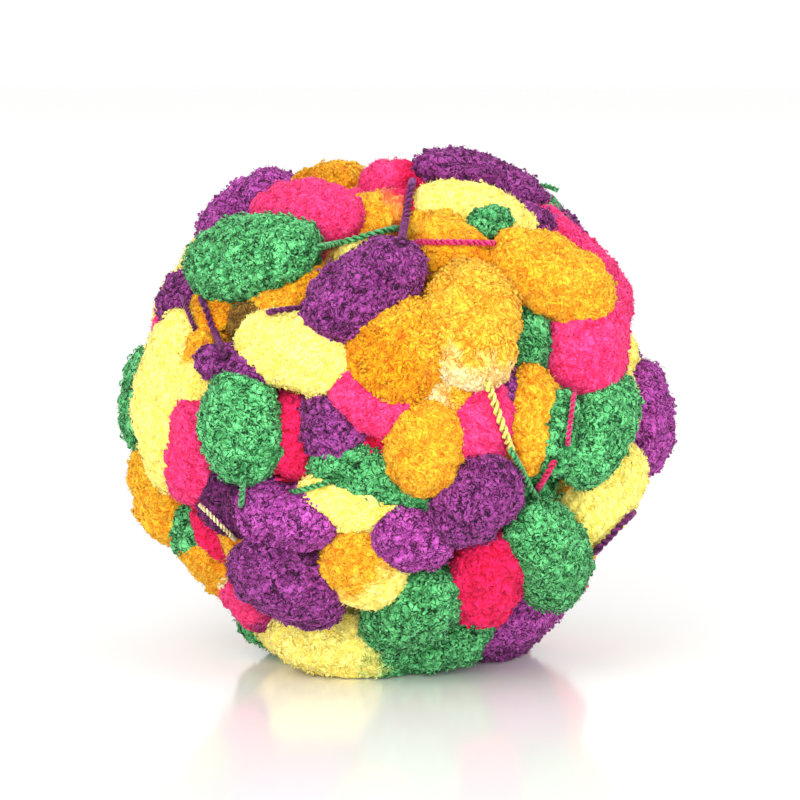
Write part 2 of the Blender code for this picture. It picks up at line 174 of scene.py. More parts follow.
# %% List the front pompoms
FRONT_COLUMNS = ("x", "z", "tilt", "long", "wide", "lift", "dye", "into", "back", "bow")
FRONT_POMPOMS = (
    (-53, 154, 40, 42, 25, 5, "purple", "purple", 8),
    (-26, 166, -6, 48, 26, -1, "amber", "orange", 12),
    (-30, 149, -8, 46, 23, 4, "pink"),
    (-48, 134, 5, 50, 28, 7, "green"),
    (2, 160, 0, 34, 30, -4, "pink", "red", 6),
    (33, 168, -16, 48, 20, 6, "purple", "purple", 0, 4),
    (26, 148, -12, 46, 24, 0, "yellow"),
    (17, 143, -3, 32, 16, -2, "orange", "yellow"),
    (32, 145, 10, 18, 12, 7, "green"),
    (49, 149, -15, 30, 18, -1, "purple", "pink"),
    (69, 135, -55, 48, 18, -2, "pink", "pink", 0, 4),
    (53, 127, -25, 45, 27, 8, "orange"),
    (63, 106, 80, 44, 31, 0, "pink"),
    (43, 108, 88, 34, 22, -6, "green"),
    (25, 111, 85, 42, 31, 6, "gold"),
    (20, 134, -50, 34, 24, 1, "orange", "amber"),
    (2, 102, 40, 37, 34, 2, "amber", "orange"),
    (-10, 123, 38, 42, 26, 9, "purple"),
    (-34, 103, -15, 42, 24, 5, "yellow"),
    (-32, 119, 20, 42, 24, -4, "orange", "amber"),
    (-57, 115, -60, 34, 24, -5, "orange", "amber"),
    (-70, 121, -65, 36, 24, -2, "purple"),
    (-75, 86, 86, 62, 25, 3, "yellow"),
    (-64, 97, 80, 32, 20, -1, "yellow", "orange"),
    (-91, 86, 88, 42, 26, 0, "green", "green", 8),
    (-67, 70, 86, 40, 21, 1, "pink"),
    (-50, 79, -82, 38, 26, 6, "green"),
    (-54, 99, -10, 32, 15, 2, "purple"),
    (-34, 75, 80, 36, 20, -5, "red"),
    (-20, 80, 85, 30, 24, -4, "purple"),
    (-6, 88, -20, 34, 22, 1, "pink"),
    (-6, 73, -60, 28, 22, -8, "red"),
    (-10, 62, -25, 44, 24, -5, "green"),
    (10, 71, 85, 32, 23, 4, "orange"),
    (15, 90, 20, 30, 20, -3, "cream", "orange"),
    (27, 79, 82, 32, 24, -1, "pink"),
    (45, 80, 85, 38, 18, 1, "orange"),
    (54, 77, 85, 28, 15, 0, "green"),
    (68, 77, 60, 42, 23, 5, "green"),
    (69, 56, 55, 42, 27, 0, "yellow"),
    (90, 80, 86, 42, 26, 1, "purple", "purple", 6),
    (53, 34, -66, 48, 26, 6, "green"),
    (26, 54, 48, 35, 24, 7, "purple"),
    (9, 43, -12, 30, 19, 3, "lilac"),
    (31, 28, 75, 40, 25, 4, "red"),
    (45, 10, 12, 46, 26, 2, "purple"),
    (6, 18, 45, 42, 27, 4, "green"),
    (-30, 9, -12, 46, 25, 3, "yellow"),
    (-35, 27, -25, 42, 30, 8, "purple"),
    (-36, 48, -10, 36, 22, 3, "lilac"),
    (-16, 52, -12, 36, 18, 0, "yellow"),
    (-10, 32, -50, 32, 26, 3, "orange", "yellow"),
    (-52, 55, 20, 36, 26, -5, "purple"),
    (-82, 53, -70, 38, 26, 2, "orange", "orange", 4),
    (-69, 38, -60, 34, 22, -2, "green"),
    (-65, 26, -50, 36, 24, -1, "orange", "orange", 2),
    (-54, 22, -40, 30, 18, 0, "cream"),
    (-49, 8, -35, 38, 24, 1, "pink", "purple"),
    (8, 54, 0, 34, 20, -5, "green"),
    (84, 108, 80, 40, 24, -7, "yellow", "yellow", 4),
    (60, 153, -40, 40, 24, 0, "green", "purple", 8),
    (-49, 113, 20, 20, 14, 0, "cream"),
    (-2, 146, 10, 36, 24, -5, "orange", "red"),
    (66, 62, 40, 28, 20, -4, "orange"),
    (-69, 140, -60, 34, 22, 0, "yellow", "yellow", 8),
    (-79, 117, 60, 32, 22, -4, "pink", "pink", 6),
)
print(len(FRONT_POMPOMS), "pompoms are listed")

# %% [markdown]
# ## From the photo to the ball
# A place in the photo is a line of sight, and the pompom sits where that line meets the winding,
# lifted by as much as the pompom stands out. Near the rim the line may miss it, and then the nearest
# point counts. The tilt is turned into a heading along the winding in the same way. At the rim it
# would run straight away from the camera, so its lean is kept within bounds there.

# %% Place the front pompoms
RIM_LEAN = 0.35


def seat_from_front(x, z, lift, back):
    """The seat of a pompom whose lifted middle the front view shows at x and z."""
    lifted = WINDING + lift
    eye = EYE_BACK * EYE_DISTANCE / lifted
    sight = unit(eye - (EYE_RIGHT * x + EYE_UP * (z - CENTRE[2])) / lifted)
    nearest = eye - sight * eye.dot(sight)
    reach = np.linalg.norm(nearest)
    if reach < 1:
        nearest = nearest + sight * math.sqrt(1 - reach * reach)
    return on_winding(nearest * lifted - EYE_BACK * back)


def heading_from_front(seat, tilt):
    """The direction along the winding that the front shows at this tilt."""
    shown = EYE_RIGHT * math.cos(tilt) + EYE_UP * math.sin(tilt)
    out = outward(seat)
    facing = out.dot(EYE_BACK)
    lean = math.copysign(max(abs(facing), RIM_LEAN), facing)
    heading = shown - EYE_BACK * shown.dot(out) / lean
    return unit(heading - out * heading.dot(out))


def front_row(numbers):
    """A pompom of the front with its seat and its heading."""
    row = dict(back=0, bow=0, into=numbers[FRONT_COLUMNS.index("dye")])
    row.update(zip(FRONT_COLUMNS, numbers))
    for size in ("x", "z", "long", "wide", "lift", "back", "bow"):
        row[size] = row[size] * MM
    row["seat"] = seat_from_front(row["x"], row["z"], row["lift"], row["back"])
    row["heading"] = heading_from_front(row["seat"], math.radians(row["tilt"]))
    return row


pompoms = [front_row(numbers) for numbers in FRONT_POMPOMS]
print(len(pompoms), "pompoms sit on the front")

# %% [markdown]
# ## Room on the winding
# The front doesn't tell how the yarn goes on behind, so a rule winds it there. The rule has to know
# where there is room. Many seats are spread evenly over the whole winding, each one golden angle on
# from the last, as seeds sit in a sunflower. Room is measured from a seat to the line along the
# middle of each pompom that is laid already.

# %% Measure the room
GOLDEN_ANGLE = math.radians(137.508)
WOUND_SEATS = 700
WOUND_TURNS = 6
SPINE_SHARES = np.array((-0.3, -0.15, 0, 0.15, 0.3))


def golden_spread(count, phase=0, power=2):
    """Points spread evenly over a ball of size one. A higher power makes the ball's ends blunt."""
    numbers = np.arange(count)
    heights = 1 - (2 * numbers + 1) / count
    reaches = np.sqrt(1 - np.abs(heights) ** power)
    angles = numbers * GOLDEN_ANGLE + phase
    return np.column_stack((reaches * np.cos(angles), reaches * np.sin(angles), heights))


def room_beside(spots, row):
    """How far each spot of the winding lies past the side of a pompom that is laid already."""
    spine = on_winding(row["seat"] + row["heading"] * SPINE_SHARES[:, None] * row["long"])
    gaps = np.linalg.norm(spots[:, None, :] - spine[None, :, :], axis=2)
    return gaps.min(axis=1) - row["wide"] / 2


def free_heading(seat, long, placed):
    """The heading along the winding that leaves the most room at both ends."""
    out = outward(seat)
    east = unit(np.cross((0, 0, 1), out))
    north = np.cross(out, east)
    best_room, best = -1.0, east
    for count in range(WOUND_TURNS):
        angle = math.pi * count / WOUND_TURNS
        heading = east * math.cos(angle) + north * math.sin(angle)
        ends = on_winding(seat + heading * long * SPINE_SHARES[[0, -1], None])
        room = min(room_beside(ends, row).min() for row in placed)
        if room > best_room:
            best_room, best = room, heading
    return best


across_seat, ahead_seat, up_seat = golden_spread(WOUND_SEATS).T
seats = on_winding(np.column_stack((ahead_seat, across_seat, up_seat)))
rooms = np.min([room_beside(seats, row) for row in pompoms], axis=0)
print("most room left by the front:", round(rooms.max() / MM), "mm")

# %% [markdown]
# ## Winding the rest
# One broad pompom lies under the middle, where the ball rests. After it, the seat with the most room
# gets the next pompom, turned to lie freely, until no seat has room left. This is the same rule as in
# the solids, so every pompom lands on its own lump. On the underside they sag until they are pressed
# on the table, and between the front ones they are small and lie deep.

# %% Wind the sides, the back and the underside
REST_LONG, REST_WIDE, REST_LIFT = 48 * MM, 34 * MM, 1 * MM
WOUND_LONG = (44, 50, 40, 47, 53, 42, 49)
WOUND_WIDE = (27, 25, 29, 26, 30)
WOUND_LIFT = (0, 4, -2, 2, 6, -1, 3)
WOUND_DYES = (
    "pink", "green", "yellow", "purple", "orange", "purple", "pink", "yellow", "green", "orange", "red"
)
CHANGES_EVERY = 5
WOUND_ROOM = 1 * MM
FILL_LONG = 34
FILL_WIDE = 22
FILL_SINK = 7 * MM
UNDER = -0.8
SAG_PRESS = 1.5 * MM
SAG_MOST = 8 * MM
RISE = 45 * MM
PLUMPNESS = 0.88


def from_cycle(cycle, count):
    """The entry of a list that starts again after its end."""
    return cycle[count % len(cycle)]


def wound_row(seat, count, placed):
    """One pompom of the winding rule, smaller and deeper where it fills in the front."""
    filling = seat[1] < 0 and seat[2] > UNDER * WINDING[2]
    long = (FILL_LONG if filling else from_cycle(WOUND_LONG, count)) * MM
    wide = (FILL_WIDE if filling else from_cycle(WOUND_WIDE, count)) * MM
    behind = min(max(seat[1] / RISE, 0), 1)
    lift = (from_cycle(WOUND_LIFT, count) * MM + FILL_SINK) * behind - FILL_SINK
    if seat[2] < UNDER * WINDING[2]:
        sag = CENTRE[2] + seat[2] - wide / 2 * PLUMPNESS + SAG_PRESS
        lift = max(lift, min(sag, SAG_MOST))
    dye = from_cycle(WOUND_DYES, count)
    into = from_cycle(WOUND_DYES, count + 1) if count % CHANGES_EVERY == 0 else dye
    heading = free_heading(seat, long, placed)
    return dict(seat=seat, heading=heading, long=long, wide=wide, lift=lift, bow=0, dye=dye, into=into)


rest_seat = dict(seat=np.array((0, 0, -WINDING[2])), heading=EYE_RIGHT, bow=0, dye="pink", into="pink")
pompoms.append(dict(rest_seat, long=REST_LONG, wide=REST_WIDE, lift=REST_LIFT))
rooms = np.minimum(rooms, room_beside(seats, pompoms[-1]))
first_wound = len(pompoms)
while rooms.max() > WOUND_ROOM:
    row = wound_row(seats[rooms.argmax()], len(pompoms) - first_wound, pompoms)
    pompoms.append(row)
    rooms = np.minimum(rooms, room_beside(seats, row))
print(len(pompoms), "pompoms in all")

# %% [markdown]
# ## Settling the front
# Held against the photo, a few pompoms want a small push or another dye, and a few small ones peep
# out between the rest. This waits until the winding is done. Before it, the rule would find other
# seats for the rest, and they would no longer lie on the lumps of the solid. A pushed pompom is
# called by the x and z of its old row. One that is only dyed again is called by its number, with the
# share of its length where the dye changes. Some new dyes are painted light and shade: two purple
# pompoms at the rim and one low in front get the lighter lilac as painted light, and the small cream
# one gets a darker shaded cream as painted shade.

# %% Settle the front
SETTLED = {
    (26, 54): (27, 54, 48, 32, 24, 7, "purple"),
    (9, 43): (6, 41, -12, 27, 20, 5, "lilac"),
    (-30, 9): (-29, 10, -12, 46, 25, 4, "yellow"),
    # Painted light: these two purple pompoms at the rim get the lighter lilac.
    (90, 80): (90, 80, 86, 42, 26, 1, "lilac", "lilac", 6),
    (-53, 154): (-53, 154, 40, 42, 25, 5, "lilac", "lilac", 8),
    # Painted shade: this cream pompom gets the darker shaded cream.
    (-49, 113): (-47, 113, 20, 20, 14, 0, "straw"),
    (49, 149): (46, 147, -20, 19, 10, 4, "purple"),
    (-35, 27): (-36, 27, -25, 39, 27, 8, "purple"),
    (54, 77): (54, 76, 82, 28, 17, 4, "green"),
    (-50, 79): (-51, 78, -82, 36, 26, 6, "green"),
    (-54, 99): (-53, 98, -10, 31, 15, 6, "purple"),
    (-52, 55): (-52, 55, 20, 36, 26, -5, "plum"),
    # Painted light: this purple pompom low in front gets the lighter lilac.
    (45, 10): (45, 10, 12, 46, 26, 2, "lilac"),
    (53, 34): (51.5, 35, -64, 52, 26, 7, "green"),
    (15, 90): (14, 90, 15, 32, 20, 0, "cream", "orange"),
}
PEEPING = (
    (42, 55, 30, 30, 18, -6, "green"),
    (60, 139, -38, 38, 15, 3, "pink", "pink", 0, 2),
    (-38, 161, 50, 18, 10, 3, "green"),
    (36, 91, 75, 18, 11, 0, "purple"),
    (92, 76, 86, 16, 9, 0, "pink", "pink", 4),
)
DYED_AGAIN = {
    14: ("cream", "gold", 0.14),
    92: ("green", "green", 0.5),
    96: ("pink", "pink", 0.5),
    112: ("green", "yellow", 0.28),
}
fronts = [numbers[:2] for numbers in FRONT_POMPOMS]
for place, numbers in SETTLED.items():
    pompoms[fronts.index(place)] = front_row(numbers)
for number, (dye, into, change) in DYED_AGAIN.items():
    pompoms[number].update(dye=dye, into=into, change=change)
pompoms.extend(front_row(numbers) for numbers in PEEPING)
print(len(SETTLED), "pushed and", len(PEEPING), "added")

# %% [markdown]
# ## Taking points from a blank
# Each shape that repeats is modelled once, as a blank: a primitive is added with nothing else
# selected, and shaped in edit mode. Then its points and triangles are taken off it and laid down many
# times. Edit mode may hand over the same points in another order in each run, so they are sorted
# first, and the same script makes the same ball every time.

# %% Write the helpers for blanks
POINT_DIGITS = 6
ORDER_DIGITS = 4


def blank_from(add, **settings):
    """A new primitive, alone and selected all over, in edit mode with its points up for choice."""
    bpy.ops.object.select_all(action="DESELECT")
    add(**settings)
    bpy.ops.object.mode_set(mode="EDIT")
    bpy.ops.mesh.select_mode(type="VERT")
    return bpy.context.object


def select_points(mesh, chosen):
    """In edit mode, select the points that a test picks, and nothing else."""
    bpy.ops.mesh.select_all(action="DESELECT")
    bpy.ops.object.mode_set(mode="OBJECT")
    for point in mesh.vertices:
        point.select = bool(chosen(point.co))
    bpy.ops.object.mode_set(mode="EDIT")


def taken(blank):
    """The points and triangles of a blank, in the same order in every run. The blank goes."""
    bpy.ops.object.mode_set(mode="OBJECT")
    points = np.array([point.co for point in blank.data.vertices]).round(POINT_DIGITS)
    order = np.lexsort(points.round(ORDER_DIGITS).T)
    ranks = np.argsort(order)
    triangles = []
    for face in blank.data.polygons:
        corners = ranks[list(face.vertices)]
        first, *others = np.roll(corners, -corners.argmin())
        triangles += [(first, *pair) for pair in zip(others, others[1:])]
    bpy.data.objects.remove(blank)
    return points[order], np.array(sorted(triangles))


def turned(points, triangles):
    """The same faces the other way round, because laying them down swaps left and right."""
    return points, triangles[:, ::-1]


print("blanks are rounded to", 10 ** -POINT_DIGITS)

# %% [markdown]
# ## One pompom body and one skin
# A pompom is a fat roll of fleece with blunt ends. It could be a scaled sphere, but then its ends
# would be pointed like a lemon's. So a sphere is added, and its rings are widened one by one in edit
# mode, the outer ones the most. It is modelled twice: a plain body, which tells where the pompoms
# meet, and a skin with many more faces, which can carry tufts. Every pompom is a copy of both that is
# stretched and bent along the winding.

# %% Model the pompom body and its skin
BODY_AROUND = 22
BODY_RINGS = 15
SKIN_AROUND = 88
SKIN_RINGS = 60
RING_REACH = 0.0005
BLUNTNESS = 2.6


def blunt_ball(around, rings):
    """The points and triangles of a ball of size one whose rings are widened into blunt ends."""
    ball = blank_from(bpy.ops.mesh.primitive_uv_sphere_add, segments=around, ring_count=rings, radius=1)
    for ring in range(1, rings):
        height = math.cos(math.pi * ring / rings)
        wider = math.sqrt(1 - abs(height) ** BLUNTNESS) / math.sqrt(1 - height ** 2)
        select_points(ball.data, lambda place: abs(place.z - height) < RING_REACH)
        bpy.ops.transform.resize(value=(wider, wider, 1), center_override=(0, 0, 0))
    return turned(*taken(ball))


body_points, body_triangles = blunt_ball(BODY_AROUND, BODY_RINGS)
skin_points, skin_triangles = blunt_ball(SKIN_AROUND, SKIN_RINGS)
print("pompom body:", len(body_triangles), "triangles, and its skin:", len(skin_triangles))

# %% [markdown]
# ## One curl of pile
# Fleece pile is a mass of short curls, each a few fibres that cling together. A curl could be a hair
# curve, but a real mesh keeps its shape in every program. This one starts as a ball with four sides,
# and its underside is cut away, because it lies in the pile. What is left is a long grain with a
# round back. It has so few faces because the ball needs tens of thousands of them.

# %% Model the curl of pile
CURL_SIDES = 4
CURL_RINGS = 3
CURL_UNDERSIDE = -0.1
sphere = bpy.ops.mesh.primitive_uv_sphere_add
curl = blank_from(sphere, segments=CURL_SIDES, ring_count=CURL_RINGS, radius=1)
select_points(curl.data, lambda place: place.x < CURL_UNDERSIDE)
bpy.ops.mesh.delete(type="VERT")
curl_points, curl_triangles = turned(*taken(curl))
print("curl of pile:", len(curl_points), "points,", len(curl_triangles), "triangles")

# %% [markdown]
# ## One loose fibre
# Single fibres stand out of the pile and blur the outline of the ball. They are far thinner than
# anything else here, so each is a thin blade that runs to a point: a flat square, with the two
# corners of its far side merged.

# %% Model the fibre
FIBRE_TIP = 0.9
fibre = blank_from(bpy.ops.mesh.primitive_plane_add, size=1)
bpy.ops.transform.translate(value=(0.5, 0, 0))
select_points(fibre.data, lambda place: place.x > FIBRE_TIP)
bpy.ops.mesh.merge(type="CENTER")
fibre_points, fibre_triangles = taken(fibre)
print("fibre:", len(fibre_points), "points,", len(fibre_triangles), "triangle")

# %% [markdown]
# ## Laying a pompom on the ball
# A pompom is first made straight, in its own measures: up from its core, across it, and along it.
# Laying it bends the core along the winding and carries every point with it. Smooth noise swells it
# here and there, as in the solids, and a finer noise adds small lumps with creases between them. The
# body is a little smaller than the lump of the solid, and the pile that grows on it fills the rest.
# Nothing may pass through the table.

# %% Lay the bodies along the winding
PILE = 1.3 * MM
SWELL_PITCH = 11 * MM
SWELL = 1.3 * MM
TUFT_PITCH = 8 * MM
TUFT = 2.4 * MM
EVEN = 0.2
ABOVE_TABLE = 0.3 * MM


def laid(row, up, across, along):
    """Places on the ball of points that are measured on a straight pompom, and their core points."""
    side = np.cross(outward(row["seat"]), row["heading"])
    share = np.clip(along / (row["long"] / 2), -1, 1)
    bend = side * (row["bow"] * (1 - share ** 2))[:, None]
    core = on_winding(row["seat"] + row["heading"] * along[:, None] + bend)
    place = core + outward(core) * (row["lift"] + up)[:, None] + side * across[:, None]
    return CENTRE + place, CENTRE + core


def billows(places, pitch):
    """Round swellings with sharp creases between them, about zero on the whole."""
    return np.array([abs(noise.noise(Vector(place) / pitch)) for place in places]) - EVEN


def swelling(places, cores):
    """How smooth noise and billows move each place, away from or towards its core."""
    spots = places - CENTRE
    smooth = np.array([noise.noise(Vector(spot) / SWELL_PITCH) for spot in spots])
    return unit(places - cores) * (smooth * SWELL + billows(spots, TUFT_PITCH) * TUFT)[:, None]


def over_table(places):
    """Lift what would pass through the table."""
    places[:, 2] = np.maximum(places[:, 2], ABOVE_TABLE)
    return places


def half_sizes(row):
    """Half the height, width and length of a pompom's body, inside its pile."""
    half_wide, half_long = row["wide"] / 2, row["long"] / 2
    return np.array((half_wide * PLUMPNESS, half_wide, half_long)) - PILE


def swollen(row, blank):
    """The points of a blank of size one as a pompom on the ball, and their core points."""
    places, cores = laid(row, *(blank * half_sizes(row)).T)
    return places + swelling(places, cores), cores


bodies = [over_table(swollen(row, body_points)[0]) for row in pompoms]
print(len(bodies), "bodies laid")

# %% [markdown]
# ## The heart
# Deep between the pompoms the yarn underneath shows. A plain egg, a little inside the winding, stands
# for it and closes the gaps. It gets pile like the pompoms, but only where it can be seen.

# %% Model the heart
HEART_DEPTH = 4 * MM
HEART_AROUND = 48
HEART_RINGS = 32
HEART_HALF = WINDING - HEART_DEPTH
heart = blank_from(sphere, segments=HEART_AROUND, ring_count=HEART_RINGS, radius=1)
bpy.ops.transform.resize(value=HEART_HALF, center_override=(0, 0, 0))
bpy.ops.transform.translate(value=CENTRE)
heart_points, heart_triangles = taken(heart)
print("heart:", len(heart_triangles), "triangles")

# %% [markdown]
# ## Seeing what is open to the air
# Where two pompoms press on each other, no pile shows, and faces there would only be in the way. To
# find out what can be seen, rays are cast against all the bodies and the heart, which are put
# together into one search tree for this.

# %% Put the bodies into a search tree
everything = bodies + [heart_points]
starts = np.cumsum([0] + [len(points) for points in everything])
faces = [body_triangles + start for start in starts[:-2]] + [heart_triangles + starts[-2]]
body_tree = BVHTree.FromPolygons(np.vstack(everything).tolist(), np.vstack(faces).tolist())
print("the bodies have", sum(len(part) for part in faces), "triangles")

# %% [markdown]
# ## Making a mesh from arrays
# A pompom with its pile has thousands of small faces, so its mesh is filled straight from arrays. Its
# dye, with painted shade on it, goes into a colour attribute, point by point, and how dark the painted
# shade in its creases is into a second one.

# %% Build a piece from its arrays
def piece_from(name, points, triangles, dyes):
    """An object with these points and faces, and dye colours with painted shade, each with how dark its
    painted crease shade is.
    """
    mesh = bpy.data.meshes.new(name)
    mesh.vertices.add(len(points))
    mesh.vertices.foreach_set("co", points.astype(np.float32).ravel())
    mesh.loops.add(3 * len(triangles))
    mesh.loops.foreach_set("vertex_index", triangles.astype(np.int32).ravel())
    mesh.polygons.add(len(triangles))
    mesh.polygons.foreach_set("loop_start", 3 * np.arange(len(triangles), dtype=np.int32))
    mesh.update(calc_edges=True)
    mesh.shade_smooth()
    # The dye attribute holds the dye with painted shade, and the crease attribute how dark the painted
    # shade in the creases is.
    colours = mesh.color_attributes.new("dye", "FLOAT_COLOR", "POINT")
    shades = np.column_stack((dyes[:, :3], np.ones(len(points))))
    colours.data.foreach_set("color", shades.astype(np.float32).ravel())
    depths = mesh.attributes.new("crease", "FLOAT", "POINT")
    depths.data.foreach_set("value", dyes[:, 3].astype(np.float32))
    piece = bpy.data.objects.new(name, mesh)
    bpy.context.scene.collection.objects.link(piece)
    return piece


print("a piece carries the attributes dye and crease")

# %% [markdown]
# ## The twisted thread
# Between the pompoms the bare thread shows. It is two plies twisted round each other. A ply could be
# a curve, but the twist is easier from a section: two circles side by side, carried up in a screw.
# The Screw modifier does that, and the ends are filled.

# %% Twist a straight rope
PLY_SIDES = 7
PLY_RADIUS = 0.28
PLY_OFFSET = 0.22
TWIST_PITCH = 1.9
TURN_STEPS = 10


def straight_rope(thick, long):
    """The points and triangles of a straight two-ply rope along +Z."""
    rope = blank_from(bpy.ops.mesh.primitive_circle_add, vertices=PLY_SIDES, radius=PLY_RADIUS * thick)
    bpy.ops.transform.translate(value=(PLY_OFFSET * thick, 0, 0))
    bpy.ops.mesh.duplicate()
    bpy.ops.transform.rotate(value=math.pi, orient_axis="Z", center_override=(0, 0, 0))
    bpy.ops.object.mode_set(mode="OBJECT")
    turns = max(1, round(long / (thick * TWIST_PITCH)))
    twist = rope.modifiers.new("twist", "SCREW")
    twist.angle = 2 * math.pi * turns
    twist.screw_offset = long
    twist.steps = twist.render_steps = TURN_STEPS * turns
    bpy.ops.object.modifier_apply(modifier=twist.name)
    bpy.ops.object.mode_set(mode="EDIT")
    bpy.ops.mesh.select_all(action="SELECT")
    bpy.ops.mesh.fill_holes(sides=0)
    bpy.ops.mesh.normals_make_consistent(inside=False)
    return taken(rope)


print("a thread turns once in", TWIST_PITCH, "times its thickness")

# %% [markdown]
# ## Laying a rope along its route
# The straight rope is carried point by point onto its route over the ball. Light hardly reaches the
# groove between the plies, so painted shade darkens the dye there, and their backs are painted in the
# lit colour.

# %% Write the helpers for routes
# How dark painted shade is in the thread's creases and its groove, and how much of the lit colour the
# backs of its plies get.
THREAD_CREASE_SHADE = 0.3
GROOVE = math.sqrt(PLY_RADIUS ** 2 - PLY_OFFSET ** 2)
PLY_BACK = PLY_OFFSET + PLY_RADIUS
GROOVE_SHADE = 0.3
THREAD_LIT_SHARE = 0.6


def curve_through(stops, steps):
    """A smooth curve through the stops, as many short steps."""
    ends = np.vstack((2 * stops[0] - stops[1], stops, 2 * stops[-1] - stops[-2]))
    share = (np.arange(steps) / steps)[:, None]
    places = []
    for before, start, end, after in zip(ends, ends[1:], ends[2:], ends[3:]):
        lean_out = (end - before) * share
        lean_on = (2 * before - 5 * start + 4 * end - after) * share ** 2
        lean_in = (3 * start - before - 3 * end + after) * share ** 3
        places.append(start + (lean_out + lean_on + lean_in) / 2)
    return np.vstack(places + [stops[-1:]])


def run_lengths(route):
    """How far along a route each of its places is."""
    return np.concatenate(([0], np.cumsum(np.linalg.norm(np.diff(route, axis=0), axis=1))))


def rope_along(name, route, thick, dye, into):
    """A twisted rope piece along a route over the ball."""
    runs = run_lengths(route)
    points, triangles = straight_rope(thick, runs[-1])
    ahead = unit(np.gradient(route, axis=0))
    out = unit(route - CENTRE)
    side = unit(np.cross(ahead, out))
    out = np.cross(side, ahead)
    core, out, side = (
        np.column_stack([np.interp(points[:, 2], runs, line[:, axis]) for axis in range(3)])
        for line in (route, out, side)
    )
    places = core + out * points[:, :1] + side * points[:, 1:2]
    mix = np.clip(points[:, 2:] / runs[-1], 0, 1)
    # Painted shade: dark in the groove between the plies, and the lit colour on their backs.
    off_core = np.linalg.norm(points[:, :2], axis=1) / thick
    shade = np.clip((off_core - GROOVE) / (PLY_BACK - GROOVE), 0, 1)[:, None]
    shaded, lit = (DYES_LIT_AND_SHADED[dye][depth] * (1 - mix) + DYES_LIT_AND_SHADED[into][depth] * mix for depth in (IN_SHADE, IN_LIGHT))
    back = shaded * (1 - THREAD_LIT_SHARE) + lit * THREAD_LIT_SHARE
    dyes = shaded * GROOVE_SHADE * (1 - shade) + back * shade
    dyes[:, 3] = THREAD_CREASE_SHADE
    return piece_from(name, places, triangles, dyes)


print("the groove lies", round(GROOVE, 2), "of the thickness off the middle")

# %% [markdown]
# ## The loose end
# The yarn's end climbs out from behind the top pompom and stands out past it. Its route is a smooth
# curve through a few places, the same ones as in the solid.

# %% Lay the loose end
LOOSE_END_STOPS = np.array((
    (38.6, 27.4, 141.6),
    (39.0, 23.8, 144),
    (40.5, 20.2, 149),
    (43.2, 17.6, 153.9),
    (46.6, 15, 157),
    (50.5, 11.5, 158),
    (54.5, 8, 156.6),
)) * MM
LOOSE_END_THICK = 2 * MM
CURVE_STEPS = 24
end_route = curve_through(LOOSE_END_STOPS, CURVE_STEPS)
loose_end = rope_along("loose_end_thread", end_route, LOOSE_END_THICK, "green", "green")
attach(loose_end, "root")
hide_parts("loose_end")

# %% [markdown]
# ## The bare thread on the front
# Each run of bare thread goes straight from end to end as the camera sees it. It is drawn tight over
# the pompoms, so its height is measured down onto them all along, and where it crosses a gap it
# bridges. A higher thread is nearer to the camera and has its seat elsewhere, so the heights are
# measured again at the new seats, a few times. Both ends turn down between the pompoms. The last
# column lifts a run a little more.

# %% Lay the bare thread
THREAD_COLUMNS = ("x1", "z1", "x2", "z2", "thick", "dye", "into", "lift")
FRONT_THREADS = (
    (6, 160.5, 2, 138, 2.8, "plum", "plum", 0),
    (-27, 137, 1, 144.5, 2.4, "green", "green", 0),
    (7, 139.6, 34, 138.6, 2.2, "pink", "pink", 0),
    (31, 93, 39.5, 69, 2.8, "yellow", "yellow", 0),
    (39, 70.5, 47.5, 54, 2.2, "green", "green", 6),
    (-65, 120.5, -57, 101, 2.4, "plum", "plum", 1),
    (53.6, 66.3, 47.9, 57, 2.2, "red", "pink", 3),
    (60.3, 88.8, 58, 72, 1.8, "pink", "pink", 1),
    (-42.5, 115.6, -31.2, 117.3, 2.2, "plum", "plum", 2),
    (-50.9, 62, -51.6, 52, 2.2, "green", "green", 1),
    (-65.3, 52, -53.6, 40.2, 1.7, "cream", "cream", 0),
    (-36.9, 55.3, -21.8, 59.6, 2.2, "green", "green", 0),
    (80, 49.6, 67.3, 36.2, 2.6, "plum", "plum", 0),
    (-71.5, 121, -67, 110, 1.8, "plum", "plum", 1),
)
THREAD_STEP = 2 * MM
THREAD_SMOOTHING = 4
THREAD_PASSES = 3
ROUTE_STEPS = 6
THREAD_START = 10 * MM
THREAD_DIVE = 1.5
THREAD_RAISE = 0.8
SKIN_ABOVE = 40 * MM


def seats_below(spots, heights):
    """The seats on the winding of spots that the camera sees at these heights."""
    return np.array([seat_from_front(x, z, height, 0) for (x, z), height in zip(spots, heights)])


def thread_route(row):
    """The route of a thread that the camera sees as straight, down on the pompoms all along."""
    first, last = np.array((row["x1"], row["z1"])) * MM, np.array((row["x2"], row["z2"])) * MM
    thick, lift = row["thick"] * MM, row["lift"] * MM
    steps = round(np.linalg.norm(last - first) / THREAD_STEP)
    spots = [first + (last - first) * step / steps for step in range(steps + 1)]
    heights = np.full(steps + 1, THREAD_START)
    for _ in range(THREAD_PASSES):
        seats = seats_below(spots, heights)
        outs = outward(seats)
        tops = [Vector(CENTRE + seat + out * SKIN_ABOVE) for seat, out in zip(seats, outs)]
        reaches = [body_tree.ray_cast(top, Vector(-out))[3] for top, out in zip(tops, outs)]
        heights = SKIN_ABOVE - np.array(reaches) + PILE + thick * THREAD_RAISE + lift
        for _ in range(THREAD_SMOOTHING):
            before = np.concatenate((heights[:1], heights[:-1]))
            after = np.concatenate((heights[1:], heights[-1:]))
            heights = np.maximum(heights, (before + after) / 2)
    heights[[0, -1]] -= thick * THREAD_DIVE
    seats = seats_below(spots, heights)
    return curve_through(CENTRE + seats + outward(seats) * heights[:, None], ROUTE_STEPS)


